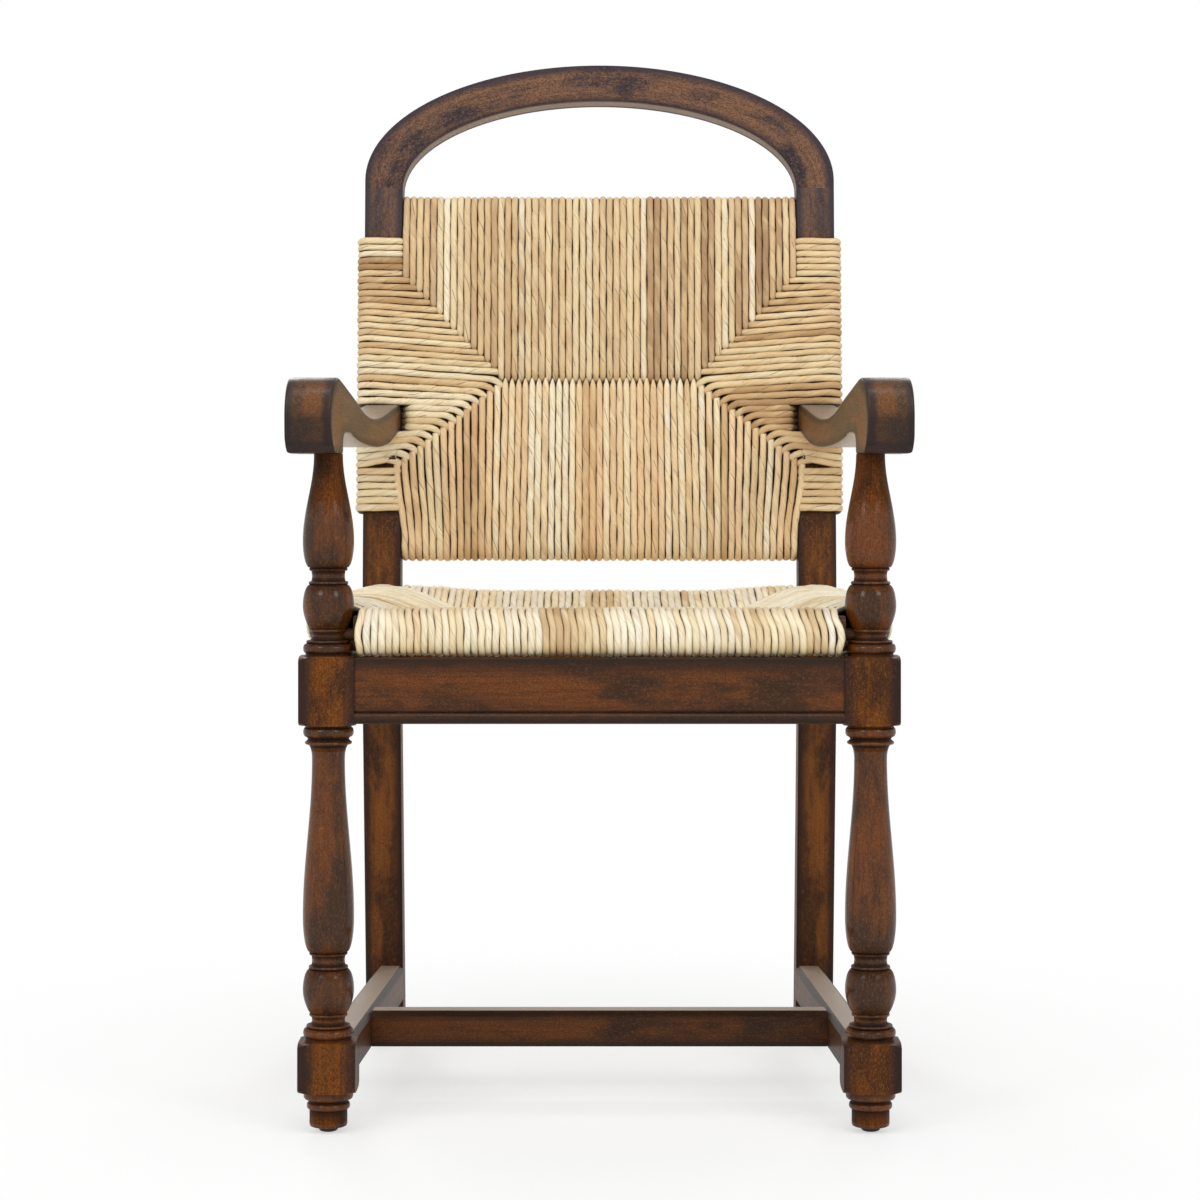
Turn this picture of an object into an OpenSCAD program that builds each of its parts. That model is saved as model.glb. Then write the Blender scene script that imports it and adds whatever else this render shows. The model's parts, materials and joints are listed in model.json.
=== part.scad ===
// Armchair with turned front legs, an arched crest, scroll arms and a woven rush seat and back
// Millimetres. The floor is Z = 0, +X is the sitter's left, the chair faces -Y.

/* [Overall] */
// Height from the floor to the top of the crest
overall_h = 1072; // [1040:1:1110]
// Sideways distance from the middle of the chair to each front leg's axis
leg_x = 257.5; // [250:0.5:275]
// Distance between the front leg axes and the back posts' middles, front to back
leg_spacing = 430; // [410:1:460]
// Clearance round every tenon, spigot and nail in its hole
joint_gap = 0.2; // [0.1:0.05:0.4]
// Clearance of the rush from the wood that it goes round
rush_gap = 0.3; // [0.2:0.1:0.6]

/* [Front legs] */
// Height of the arm's underside over the front leg
arm_z = 643; // [625:1:665]
// Width of the upper square block
block_w = 53; // [50:1:58]
// Height of the upper block's underside below the aprons' bottom edge
block_drop = 2; // [0:0.5:8]
// Width of the lower square block
foot_block_w = 54.6; // [52:0.2:60]
// Height of the underside of the lower block
foot_block_z = 39; // [37:0.5:42]
// Height of the lower block
foot_block_h = 48; // [47:0.5:54]
// Radius of the balls, the vase and the baluster at their widest
swell_r = 24.3; // [22:0.1:25.5]
// Radius of the narrow necks
neck_r = 15.6; // [14.5:0.1:17]
// Radius of the bead next to each block
bead_r = 24; // [22:0.1:26]
// Radius of the leg where it meets the arm
leg_top_r = 13.7; // [12.5:0.1:15]
// Radius of the round foot
foot_r = 18; // [16:0.5:21]
// Depth of the turned shoulders at the corners of the blocks
shoulder = 3; // [1.5:0.5:5]

/* [Back posts] */
// How far the outside of each post stands in from the front legs' axes
post_inset = 1.5; // [-6:0.5:8]
// Width of the post across the chair
post_w = 41; // [38:0.5:46]
// Thickness of the post front to back
post_t = 41; // [38:0.5:46]
// Height above the aprons where the post starts to lean back
bend_rise = 58; // [56:1:70]
// Lean of the back above the bend, in degrees
recline = 5; // [3:0.25:8]
// Height below the aprons where the lower post starts to rake back
rake_drop = 8; // [4:1:20]
// Distance that the foot of the post stands behind its middle
rake = 58; // [40:1:65]

/* [Crest] */
// Height of the crest above its joints with the posts, along the back
crest_rise = 136.4; // [120:0.2:150]
// Straight stretch of the crest's outer edge above its joints
crest_straight = 9; // [2:0.5:20]
// Depth of the crest at its middle
crest_d = 39; // [34:0.5:46]
// Radius of the dowels between the posts and the crest
dowel_r = 6; // [4:0.5:8]
// Length of those dowels
dowel_l = 36; // [24:1:38]

/* [Arms] */
// Height of the nose above the underside
arm_h = 72; // [66:1:78]
// Reach of the nose in front of the leg's axis
arm_nose = 45; // [40:1:50]
// Distance from the front leg's axis in to the arm's inner side at the nose
arm_in = 8.5; // [6:0.5:14]
// Width of the arm at its nose
arm_w_front = 46.5; // [43:0.5:54]
// Width of the arm at the post
arm_w_back = 40; // [34:0.5:41]
// Height of the arm's underside where it meets the post, above the nose's underside
arm_rise = 28; // [24:1:34]
// Thickness of the arm where it meets the post
arm_end_t = 28; // [25:1:32]
// Height of the arm's thin waist above the nose's underside
arm_waist = 8.5; // [5:0.5:11]
// Thickness of the arm at its waist
arm_waist_t = 29; // [26:0.5:34]

/* [Aprons] */
// Height of the top of the aprons
apron_top = 450; // [448:0.5:451]
// Height of the aprons
apron_h = 62; // [50:1:64]
// Thickness of the aprons
apron_t = 18; // [16:0.5:22]
// Height of the leg blocks above the top of the aprons
block_lip = 1.6; // [0:0.2:3]
// Set-back of the aprons' outer faces from the leg blocks
apron_inset = 3; // [1:0.5:5]
// Radius of the bead along the aprons' bottom edge
apron_bead_r = 5.6; // [4:0.1:6]

/* [Seat frame and rush] */
// Height of the rush over the front rail above the aprons
seat_front_rise = 47; // [46:0.5:50]
// Height of the rush over the side rails above the aprons
seat_side_rise = 55; // [53:0.5:56]
// Height of the rush over the rear rail above the aprons
seat_rear_rise = 49; // [47:0.5:52]
// Height of the seat rails
rail_h = 31; // [28:0.5:32]
// Width of the seat rails
rail_w = 30; // [26:0.5:32]
// Thickness of one layer of rush
rush_d = 7.5; // [6.5:0.1:8]
// How far the side rail's middle stands out from the front leg's axis
rail_shift_front = 2.5; // [-1:0.5:5]
// How far the side rail's middle stands in from the post's middle
rail_shift_back = 1.5; // [-1:0.5:4]
// Dish of the seat's middle below the front edge
seat_dish = 16; // [12:0.5:18]
// Radius of the round tenons on the seat rails
rail_tenon_r = 6; // [5:0.5:7]

/* [Back panel] */
// Distance up the back from the bend to the panel's lower edge
panel_low = 22; // [16:1:30]
// Gap between the panel's upper edge and the crest's joints
panel_gap = 7; // [4:0.5:16]
// Distance from the panel's lower edge up to the lowest turn of rush round the posts
wrap_rise = 53; // [45:1:65]
// Distance from the panel's upper edge down to the highest turn of rush round the posts
wrap_drop = 48; // [40:1:60]
// Height of the rails inside the panel
back_rail_h = 30; // [26:1:34]
// Thickness of the rails inside the panel
back_rail_t = 22; // [18:1:26]

/* [Stretchers] */
// Height of the underside of the stretchers
stretcher_z = 50.5; // [48:0.5:52]
// Height of a stretcher
stretcher_h = 35.5; // [28:0.5:36]
// Width of a stretcher
stretcher_w = 31; // [26:0.5:34]
// Bevel along the stretchers' top edges
stretcher_bevel = 5; // [2:0.5:7]
// How far the side stretcher's middle stands in from the front leg's axis
stretcher_shift_front = 6; // [2:0.5:9]
// How far the side stretcher's middle stands in from the post's middle
stretcher_shift_back = 5.5; // [2:0.5:8]
// Cross stretcher's middle behind the front legs' axes
cross_y = 178; // [140:1:260]

/* [Tenons] */
// Length of the tenons
tenon_l = 16; // [12:0.5:18]
// Thickness of the flat tenons
tenon_t = 10; // [8:0.5:11]
// Step from the edge of an apron or stretcher in to its tenon
tenon_step = 6; // [4:0.5:8]
// Play between the end of a tenon and the bottom of its hole
tenon_play = 0.6; // [0.3:0.1:0.8]

/* [Glides] */
// Radius of the glides
glide_r = 9.5; // [8:0.5:12]
// Height of the glides
glide_h = 5; // [3:0.5:6]
// Radius of the nail of a glide
nail_r = 1.5; // [1:0.1:2]
// Length of the nail of a glide
nail_l = 20; // [15:1:28]

/* [Hidden] */

$fn = 48;
wood = "#4a2b1a";
dark_wood = "#38231a";
rush = "#dfcda2";
straw = "#c9ab6c";
iron = "#26282b";

// Steps in a quarter of a large curve and of a small ring
curve_steps = 6;
ring_steps = 3;
// A length that passes through everything, for cuts
far = 700;

// Heights that follow the aprons
apron_z = apron_top - apron_h;
tenon_mid = apron_z + apron_h / 2;
block_z = apron_z - block_drop;
bend_z = apron_top + bend_rise;
rake_z = apron_z - rake_drop;
seat_front_z = apron_top + seat_front_rise;
seat_side_z = apron_top + seat_side_rise;
seat_rear_z = apron_top + seat_rear_rise;

// Places across the chair that follow the front legs
post_out = leg_x - post_inset;
post_x = post_out - post_w / 2;
arm_in_front = leg_x - arm_in;
side_rail_front = leg_x + rail_shift_front;
side_rail_back = post_x - rail_shift_back;
stretcher_front_x = leg_x - stretcher_shift_front;
stretcher_back_x = post_x - stretcher_shift_back;

// Back of the chair, seen from the side
post_in = post_out - post_w;
crest_top = (overall_h - bend_z - post_t / 2 * sin(recline)) / cos(recline);
crest_reach = crest_top * sin(recline) + post_t / 2 * cos(recline);
back_reach = leg_spacing + max(rake + post_t / 2, crest_reach);
leg_y = (arm_nose - back_reach) / 2;
back_y = leg_y + leg_spacing;

// Seat heights
side_rail_z = seat_side_z - rush_d - rush_gap - rail_h / 2;
front_rail_z = seat_front_z - rush_d - rush_gap - rail_h / 2;
rear_rail_z = seat_rear_z - rush_d - rush_gap - rail_h / 2;
cover = rush_d + rush_gap;

// Leg heights
block_top = apron_top + block_lip;
foot_block_top = foot_block_z + foot_block_h;
stretcher_mid = stretcher_z + stretcher_h / 2;

// Places of the crest's joints, the panel and its rails, measured up the back from the bend
crest_v = crest_top - crest_rise;
crest_spring = crest_v + crest_straight;
panel_high = crest_v - panel_gap;
wrap_low = panel_low + wrap_rise;
wrap_high = panel_high - wrap_drop;
back_rail_low = panel_low + cover + back_rail_h / 2;
back_rail_high = panel_high - cover - back_rail_h / 2;

// Quarter of an ellipse from [r0, z0] to [r1, z1]; it leaves sideways or upwards
function quarter(r0, z0, r1, z1, sideways, steps) = [
    for (i = [0 : steps])
        let (a = 90 * i / steps)
        sideways
            ? [r0 + (r1 - r0) * sin(a), z0 + (z1 - z0) * (1 - cos(a))]
            : [r0 + (r1 - r0) * (1 - cos(a)), z0 + (z1 - z0) * sin(a)]
];

// A swelling or a hollow: out to radius r at height z, and back
function bulge(r0, z0, r, z, r1, z1, steps) = concat(
    quarter(r0, z0, r, z, true, steps),
    quarter(r, z, r1, z1, false, steps)
);

// A soft taper between two radii
function taper(r0, z0, r1, z1, steps) = [
    for (i = [1 : steps])
        let (t = i / steps)
        [r1 + (r0 - r1) * (1 + cos(180 * t)) / 2, z0 + (z1 - z0) * t]
];

// A smooth line through a few points, with steps points on each stretch
function smooth(p, steps) = concat([
    for (i = [0 : len(p) - 2], j = [0 : steps - 1])
        let (
            t = j / steps,
            a = p[max(i - 1, 0)],
            b = p[i],
            c = p[i + 1],
            d = p[min(i + 2, len(p) - 1)]
        )
        0.5 * (2 * b + (c - a) * t + (2 * a - 5 * b + 4 * c - d) * t * t
            + (3 * b - a - 3 * c + d) * t * t * t)
], [p[len(p) - 1]]);

// Heights of the turned details above a block
bead_lift = 2.5;
bead_h = 9;
ring_h = 3;
collar_r = 21;
fillet_r = 18.2;
ball_lift = 25.5;
ball_h = 42;
neck_h = 10;
stack_h = ball_lift + ball_h + neck_h + 2 * ring_h;

// Bead, collar, neck, ball, neck and ring above a block whose top is at z
function stack(z) =
    let (
        bead = z + bead_lift,
        collar = bead + bead_h,
        hollow = collar + ring_h,
        ball = z + ball_lift,
        upper = ball + ball_h,
        ring = upper + ring_h,
        last = ring + neck_h
    )
    concat(
        bulge(bead_r - 2, bead, bead_r, bead + bead_h / 2, bead_r - 3, collar, ring_steps),
        bulge(collar_r - 1, collar, collar_r, collar + ring_h / 2, collar_r - 1, hollow, ring_steps),
        bulge(collar_r - 2, hollow, neck_r, (hollow + ball - ring_h) / 2, neck_r + 1, ball - ring_h, ring_steps),
        bulge(fillet_r - 1, ball - ring_h, fillet_r, ball - ring_h / 2, fillet_r - 1, ball, ring_steps),
        bulge(fillet_r - 1, ball, swell_r, ball + ball_h / 2, fillet_r - 1, upper, curve_steps),
        bulge(fillet_r - 1, upper, fillet_r, upper + ring_h / 2, fillet_r - 1, ring, ring_steps),
        bulge(neck_r + 1, ring, neck_r, ring + neck_h / 2, neck_r + 1, last, ring_steps),
        bulge(fillet_r - 1, last, fillet_r, last + ring_h / 2, fillet_r - 1, last + ring_h, ring_steps)
    );

// Cove, ring, groove and bead that lead up to a block whose underside is at z
cove_h = 14;
groove_h = 4;
function under_block(z) =
    let (
        bead = z - bead_lift - bead_h,
        ring = bead - groove_h - ring_h
    )
    concat(
        quarter(neck_r, ring - cove_h, collar_r - 1, ring, false, curve_steps),
        bulge(collar_r, ring, collar_r + 1.3, ring + ring_h / 2, collar_r, ring + ring_h, ring_steps),
        [[collar_r - 1, ring + ring_h + groove_h / 2]],
        bulge(bead_r - 3, bead, bead_r, bead + bead_h / 2, bead_r - 2, bead + bead_h, ring_steps),
        [[bead_r - 2, z + 1]]
    );

// Height above a swelling's start where it is widest
swell_rise = 33;
vase_rise = 25;
cove_z = block_z - bead_lift - bead_h - groove_h - ring_h - cove_h;
baluster_z = foot_block_top + stack_h;
vase_z = block_top + stack_h;
foot_ring_z = foot_block_z - 17;

function leg_profile() = concat(
    [[0, glide_h], [foot_r - 1, glide_h], [foot_r, glide_h + 1.5], [foot_r, foot_ring_z]],
    bulge(foot_r + 1.5, foot_ring_z, foot_r + 2.5, foot_ring_z + 3, foot_r + 1, foot_ring_z + 6, ring_steps),
    [[foot_r + 1, foot_ring_z + 8]],
    bulge(foot_r + 4, foot_ring_z + 9, foot_r + 5.5, foot_ring_z + 12, foot_r + 4, foot_block_z + 1, ring_steps),
    [[bead_r - 2, foot_block_top - 1]],
    stack(foot_block_top),
    quarter(fillet_r, baluster_z, swell_r, baluster_z + swell_rise, true, curve_steps),
    taper(swell_r, baluster_z + swell_rise, neck_r, cove_z, 2 * curve_steps),
    under_block(block_z),
    [[bead_r - 2, block_top - 1]],
    stack(block_top),
    quarter(fillet_r, vase_z, swell_r, vase_z + vase_rise, true, curve_steps),
    taper(swell_r, vase_z + vase_rise, leg_top_r, arm_z, 2 * curve_steps),
    [[0, arm_z]]
);

// A square block whose corners are turned away at both ends
module leg_block(w, z, h) {
    corner_r = w * sqrt(2) / 2 + 1;
    intersection() {
        translate([-w / 2, -w / 2, z])
            cube([w, w, h]);
        rotate_extrude($fn = 96)
            polygon(concat(
                [[0, z]],
                quarter(w / 2 + shoulder / 2, z, corner_r, z + 3 * shoulder, true, ring_steps),
                quarter(corner_r, z + h - 3 * shoulder, w / 2 + shoulder / 2, z + h, false, ring_steps),
                [[0, z + h]]
            ));
    }
}

// Frame of the leaning back: X across, Y out of its rear face, Z up the back from the bend
module back_frame() {
    translate([0, back_y, bend_z])
        rotate([-recline, 0, 0])
            children();
}

// Frame of a side piece: Y runs from the front leg's axis line to the back post
module side_frame(front_x, back_x) {
    translate([front_x, leg_y, 0])
        rotate([0, 0, atan((front_x - back_x) / leg_spacing)])
            children();
}

// Point of the leaning back in the side view: w out of the rear face, v up the back
function lean(w, v) = [
    back_y + w * cos(recline) + v * sin(recline),
    bend_z - w * sin(recline) + v * cos(recline)
];

// Side view of a post, grown by g all round
function post_outline(g) =
    let (h = post_t / 2 + g)
    [
        lean(-h, crest_v),
        lean(h, crest_v),
        lean(h, 0),
        [back_y + h, rake_z],
        [back_y + rake + h, glide_h],
        [back_y + rake - h, glide_h],
        [back_y - h, rake_z],
        lean(-h, 0)
    ];

// Everything behind the front faces of the posts
module behind_posts(g) {
    h = post_t / 2 + g;
    translate([-far, 0, 0])
        rotate([90, 0, 90])
            linear_extrude(2 * far)
                polygon([
                    lean(-h, far),
                    [far, far],
                    [far, -1],
                    [back_y + rake - h, -1],
                    [back_y + rake - h, glide_h],
                    [back_y - h, rake_z],
                    lean(-h, 0)
                ]);
}

// A post body at +X, grown by g all round
module post_body(g) {
    translate([post_in - g, 0, 0])
        rotate([90, 0, 90])
            linear_extrude(post_w + 2 * g)
                polygon(post_outline(g));
}

// Both sides of the chair
module both_sides() {
    children();
    mirror([1, 0, 0])
        children();
}

// A box with its middle at the origin in X and Z, from y0 to y1 along Y
module bar(w, h, y0, y1) {
    translate([-w / 2, y0, -h / 2])
        cube([w, y1 - y0, h]);
}

// A rectangle with round corners, middle at the origin
module soft_rect(w, h, r) {
    square([w - 2 * r, h], center = true);
    square([w, h - 2 * r], center = true);
    for (x = [-1, 1], y = [-1, 1])
        translate([x * (w / 2 - r), y * (h / 2 - r)])
            circle(r);
}

// Tenons. Each takes g: 0 for the tenon, joint_gap for its hole.
function into(g) = g > 0 ? tenon_play : 0;

module front_apron_tenon(g) {
    y = leg_y - block_w / 2 + apron_inset + apron_t / 2;
    x = leg_x - block_w / 2;
    translate([x, y, tenon_mid])
        rotate([0, 0, -90])
            bar(tenon_t + 2 * g, apron_h - 2 * tenon_step + 2 * g, -tenon_l, tenon_l + into(g));
}

side_apron_front = leg_x + block_w / 2 - apron_inset - apron_t / 2;
side_apron_back = post_out - apron_inset - apron_t / 2;

module side_apron_tenons(g) {
    front_y = block_w / 2;
    back_l = leg_spacing - post_t / 2;
    side_frame(side_apron_front, side_apron_back)
        translate([0, 0, tenon_mid])
            for (end = [
                [front_y - tenon_l - into(g), front_y + tenon_l],
                [back_l - tenon_l, back_l + tenon_l + into(g)]
            ])
                bar(tenon_t + 2 * g, apron_h - 2 * tenon_step + 2 * g, end[0], end[1]);
}

module rear_apron_tenon(g) {
    translate([post_in, back_y, tenon_mid])
        rotate([0, 0, -90])
            bar(tenon_t + 2 * g, apron_h - 2 * tenon_step + 2 * g, -tenon_l, tenon_l + into(g));
}

// Round tenons of the seat rails reach this far past the turned leg's widest radius
rail_end = swell_r + rush_gap;
front_tenon_z = front_rail_z - 2;
side_tenon_z = side_rail_z + 8;

module front_rail_tenon(g) {
    translate([leg_x - swell_r, leg_y, front_tenon_z])
        rotate([0, 90, 0])
            translate([0, 0, -tenon_l])
                cylinder(r = rail_tenon_r + g, h = 2 * tenon_l + into(g));
}

module side_rail_tenons(g) {
    front_y = swell_r;
    back_l = leg_spacing - post_t / 2;
    side_frame(side_rail_front, side_rail_back)
        for (end = [
            [front_y - tenon_l - into(g), front_y + tenon_l],
            [back_l - tenon_l, back_l + tenon_l / 2 + into(g)]
        ])
            translate([0, end[0], side_tenon_z])
                rotate([-90, 0, 0])
                    cylinder(r = rail_tenon_r + g, h = end[1] - end[0]);
}

module rear_rail_tenon(g) {
    translate([post_in - tenon_l, back_y, rear_rail_z])
        rotate([0, 90, 0])
            cylinder(r = rail_tenon_r + g, h = tenon_l + tenon_l / 2 + into(g));
}

module back_rail_tenon(v, g) {
    back_frame()
        translate([post_in - tenon_l, 0, v])
            rotate([0, 90, 0])
                cylinder(r = rail_tenon_r + g, h = 2 * tenon_l + into(g));
}

// Height up a side stretcher's tenon, and where the raked post's front face stands there
stretcher_face = leg_spacing - post_t / 2 + rake * (rake_z - stretcher_mid) / (rake_z - glide_h);

module side_stretcher_tenons(g) {
    front_y = foot_block_w / 2;
    side_frame(stretcher_front_x, stretcher_back_x)
        translate([0, 0, stretcher_mid])
            for (end = [
                [front_y - tenon_l - into(g), front_y + tenon_l],
                [stretcher_face - tenon_l, stretcher_face + tenon_l + into(g)]
            ])
                bar(tenon_t + 2 * g, stretcher_h - 2 * tenon_step + 2 * g, end[0], end[1]);
}

// Inner face of a side stretcher at the cross stretcher
stretcher_lean = atan((stretcher_front_x - stretcher_back_x) / leg_spacing);
cross_end = stretcher_front_x - cross_y * tan(stretcher_lean) - stretcher_w / 2 / cos(stretcher_lean);

module cross_tenon(g) {
    translate([cross_end, leg_y + cross_y, stretcher_mid])
        rotate([0, 0, -90])
            bar(tenon_t + 2 * g, stretcher_h - 2 * tenon_step + 2 * g, -tenon_l, tenon_l + into(g));
}

// Spigot on the leg's top that enters the arm
spigot_r = 8;
spigot_l = 25;
module arm_spigot(g) {
    translate([leg_x, leg_y, arm_z - 1])
        cylinder(r = spigot_r + g, h = spigot_l + 1 + into(g));
}

// Where the arm meets the post, measured up the back
arm_v = (arm_z + arm_rise + arm_end_t / 2 - bend_z - post_t / 2 * sin(recline)) / cos(recline);
arm_tenon_h = 16;
arm_end_x = post_in + 1 + arm_w_back / 2;
module arm_tenon(g) {
    back_frame()
        translate([arm_end_x, 0, arm_v])
            bar(tenon_t + 2 * g, arm_tenon_h + 2 * g, -post_t / 2 - tenon_l, -post_t / 2 + tenon_l + into(g));
}

// Dowel in the joint between a post and the crest
module crest_dowel(g) {
    back_frame()
        translate([post_x, 0, crest_v - dowel_l / 2 - into(g)])
            cylinder(r = dowel_r + g, h = dowel_l + 2 * into(g));
}

// Nail of a glide at x, y
module nail(x, y, g) {
    translate([x, y, glide_h - 1])
        cylinder(r = nail_r + g, h = nail_l + 1 + into(g));
}

module glide(x, y) {
    color(iron) {
        translate([x, y, 0])
            rotate_extrude()
                polygon([[0, 0], [glide_r - 3, 0], [glide_r - 1, 1], [glide_r, glide_h - 1], [glide_r, glide_h], [0, glide_h]]);
        nail(x, y, 0);
    }
}

// Right-hand front leg, at +X
module front_leg() {
    color(wood)
        difference() {
            union() {
                translate([leg_x, leg_y, 0]) {
                    rotate_extrude($fn = 96)
                        polygon(leg_profile());
                    leg_block(block_w, block_z, block_top - block_z);
                    leg_block(foot_block_w, foot_block_z, foot_block_h);
                }
                arm_spigot(0);
            }
            front_apron_tenon(joint_gap);
            side_apron_tenons(joint_gap);
            front_rail_tenon(joint_gap);
            side_rail_tenons(joint_gap);
            side_stretcher_tenons(joint_gap);
            nail(leg_x, leg_y, joint_gap);
        }
}

module back_post() {
    color(wood)
        difference() {
            post_body(0);
            side_apron_tenons(joint_gap);
            rear_apron_tenon(joint_gap);
            side_rail_tenons(joint_gap);
            rear_rail_tenon(joint_gap);
            back_rail_tenon(back_rail_low, joint_gap);
            back_rail_tenon(back_rail_high, joint_gap);
            side_stretcher_tenons(joint_gap);
            arm_tenon(joint_gap);
            crest_dowel(joint_gap);
            nail(post_x, back_y + rake, joint_gap);
        }
}

// Half an ellipse in the plane of the back
function half_ellipse(a, b, v, steps) = [
    for (i = [0 : steps])
        let (t = 180 * i / steps)
        [a * cos(t), v + b * sin(t)]
];

crest_steps = 60;
module crest_arch() {
    outer_b = crest_top - crest_spring;
    inner_b = crest_rise - crest_d;
    color(wood)
        difference() {
            back_frame()
                translate([0, post_t / 2, 0])
                    rotate([90, 0, 0])
                        linear_extrude(post_t)
                            difference() {
                                polygon(concat(
                                    [[-post_out, crest_v], [post_out, crest_v]],
                                    half_ellipse(post_out, outer_b, crest_spring, crest_steps)
                                ));
                                polygon(concat(
                                    [[-post_in, crest_v - 1], [post_in, crest_v - 1]],
                                    half_ellipse(post_in, inner_b, crest_v, crest_steps)
                                ));
                            }
            both_sides()
                crest_dowel(joint_gap);
        }
}

module crest_dowels() {
    color(straw)
        both_sides()
            crest_dowel(0);
}

// Side view of the arm: Y behind the leg's axis, Z above the nose's underside
arm_reach = leg_spacing - post_t / 2 + (arm_z - bend_z) * tan(recline);
arm_top_line = [
    [-20, arm_h], [48, arm_h - 9.5], [116, arm_h - 21], [168, arm_waist + arm_waist_t + 4],
    [250, arm_waist + arm_waist_t], [335, arm_waist + arm_waist_t + 7],
    [arm_reach, arm_rise + arm_end_t], [arm_reach + 40, arm_rise + arm_end_t + 6]
];
arm_under_line = [
    [arm_reach + 40, arm_rise + 8], [arm_reach, arm_rise], [342, arm_waist + 5],
    [270, arm_waist], [202, arm_waist + 0.5], [130, arm_waist + 4], [85, arm_waist + 9],
    [48, arm_waist + 12], [24, arm_waist + 10], [16, arm_waist + 2]
];
arm_nose_line = [
    [8 - arm_nose, 0], [3 - arm_nose, 9], [-arm_nose, arm_h - 30], [5 - arm_nose, arm_h - 14], [-20, arm_h]
];
arm_heel = [16, 0];

// How far the arm's plan runs on behind its joint, before the post cuts it
arm_overrun = 60;
module arm() {
    arm_in_back = arm_end_x - arm_w_back / 2;
    color(wood)
        difference() {
            union() {
                difference() {
                    intersection() {
                        translate([0, leg_y, arm_z])
                            rotate([90, 0, 90])
                                linear_extrude(2 * leg_x)
                                    polygon(concat(
                                        smooth(arm_top_line, 3),
                                        smooth(arm_under_line, 3),
                                        [arm_heel],
                                        smooth(arm_nose_line, 3)
                                    ));
                        translate([0, leg_y, 0])
                            linear_extrude(2 * far)
                                polygon([
                                    [arm_in_front, -arm_nose - 1],
                                    [arm_in_front + arm_w_front, -arm_nose - 1],
                                    [arm_in_back + arm_w_back, arm_reach],
                                    [arm_in_back + arm_w_back, arm_reach + arm_overrun],
                                    [arm_in_back, arm_reach + arm_overrun],
                                    [arm_in_back, arm_reach]
                                ]);
                    }
                    behind_posts(0);
                }
                arm_tenon(0);
            }
            arm_spigot(joint_gap);
        }
}

module front_apron() {
    face_y = leg_y - block_w / 2 + apron_inset;
    half = leg_x - block_w / 2;
    color(wood) {
        translate([-half, face_y, apron_z])
            cube([2 * half, apron_t, apron_h]);
        translate([-half, face_y + apron_bead_r / 2, apron_z + apron_bead_r])
            rotate([0, 90, 0])
                cylinder(r = apron_bead_r, h = 2 * half);
        both_sides()
            front_apron_tenon(0);
    }
}

module side_apron() {
    color(wood) {
        difference() {
            side_frame(side_apron_front, side_apron_back) {
                translate([0, 0, tenon_mid])
                    bar(apron_t, apron_h, 0, leg_spacing);
                translate([apron_t / 2 - apron_bead_r / 2, 0, apron_z + apron_bead_r])
                    rotate([-90, 0, 0])
                        cylinder(r = apron_bead_r, h = leg_spacing);
            }
            translate([-far, leg_y + block_w / 2 - far, -1])
                cube([3 * far, far, far]);
            behind_posts(0);
        }
        side_apron_tenons(0);
    }
}

module rear_apron() {
    color(wood) {
        translate([-post_in, back_y - apron_t / 2, apron_z])
            cube([2 * post_in, apron_t, apron_h]);
        both_sides()
            rear_apron_tenon(0);
    }
}

// Seat rails. Each takes g: 0 for the rail, rush_gap for the hollow in the rush.
rail_round = 8;
module rail_section(g) {
    soft_rect(rail_w + 2 * g, rail_h + 2 * g, rail_round);
}

module front_rail_body(g) {
    half = leg_x - rail_end + g;
    translate([-half, leg_y, front_rail_z])
        rotate([90, 0, 90])
            linear_extrude(2 * half)
                rail_section(g);
}

module rear_rail_body(g) {
    half = post_in + g;
    translate([-half, back_y, rear_rail_z])
        rotate([90, 0, 90])
            linear_extrude(2 * half)
                rail_section(g);
}

module side_rail_body(g) {
    side_frame(side_rail_front, side_rail_back)
        translate([0, rail_end - g, side_rail_z])
            rotate([90, 0, 180])
                linear_extrude(leg_spacing - post_t / 2 - rail_end - rush_gap + 2 * g)
                    rail_section(g);
}

module seat_rail_front() {
    color(dark_wood) {
        front_rail_body(0);
        both_sides()
            front_rail_tenon(0);
    }
}

module seat_rail_rear() {
    color(dark_wood) {
        rear_rail_body(0);
        both_sides()
            rear_rail_tenon(0);
    }
}

module seat_rail_side() {
    color(dark_wood) {
        side_rail_body(0);
        side_rail_tenons(0);
    }
}

module back_rail_body(v, g) {
    half = post_in + g;
    back_frame()
        translate([-half, 0, v])
            rotate([90, 0, 90])
                linear_extrude(2 * half)
                    soft_rect(back_rail_t + 2 * g, back_rail_h + 2 * g, rail_round);
}

module back_rail(v) {
    color(dark_wood) {
        back_rail_body(v, 0);
        both_sides()
            back_rail_tenon(v, 0);
    }
}

module stretcher_section() {
    w = stretcher_w / 2;
    h = stretcher_h / 2;
    c = stretcher_bevel;
    polygon([[-w, -h], [w, -h], [w, h - c], [w - c, h], [c - w, h], [-w, h - c]]);
}

module side_stretcher() {
    color(wood)
        difference() {
            union() {
                difference() {
                    side_frame(stretcher_front_x, stretcher_back_x)
                        translate([0, leg_spacing + rake, stretcher_mid])
                            rotate([90, 0, 0])
                                linear_extrude(leg_spacing + rake)
                                    stretcher_section();
                    translate([-far, leg_y + foot_block_w / 2 - far, -1])
                        cube([3 * far, far, far]);
                    behind_posts(0);
                }
                side_stretcher_tenons(0);
            }
            cross_tenon(joint_gap);
        }
}

module cross_stretcher() {
    color(wood) {
        difference() {
            translate([-leg_x, leg_y + cross_y, stretcher_mid])
                rotate([90, 0, 90])
                    linear_extrude(2 * leg_x)
                        stretcher_section();
            both_sides()
                side_frame(stretcher_front_x, stretcher_back_x)
                    translate([-stretcher_w / 2, -far / 2, -1])
                        cube([far, 2 * far, far]);
        }
        both_sides()
            cross_tenon(0);
    }
}

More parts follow.
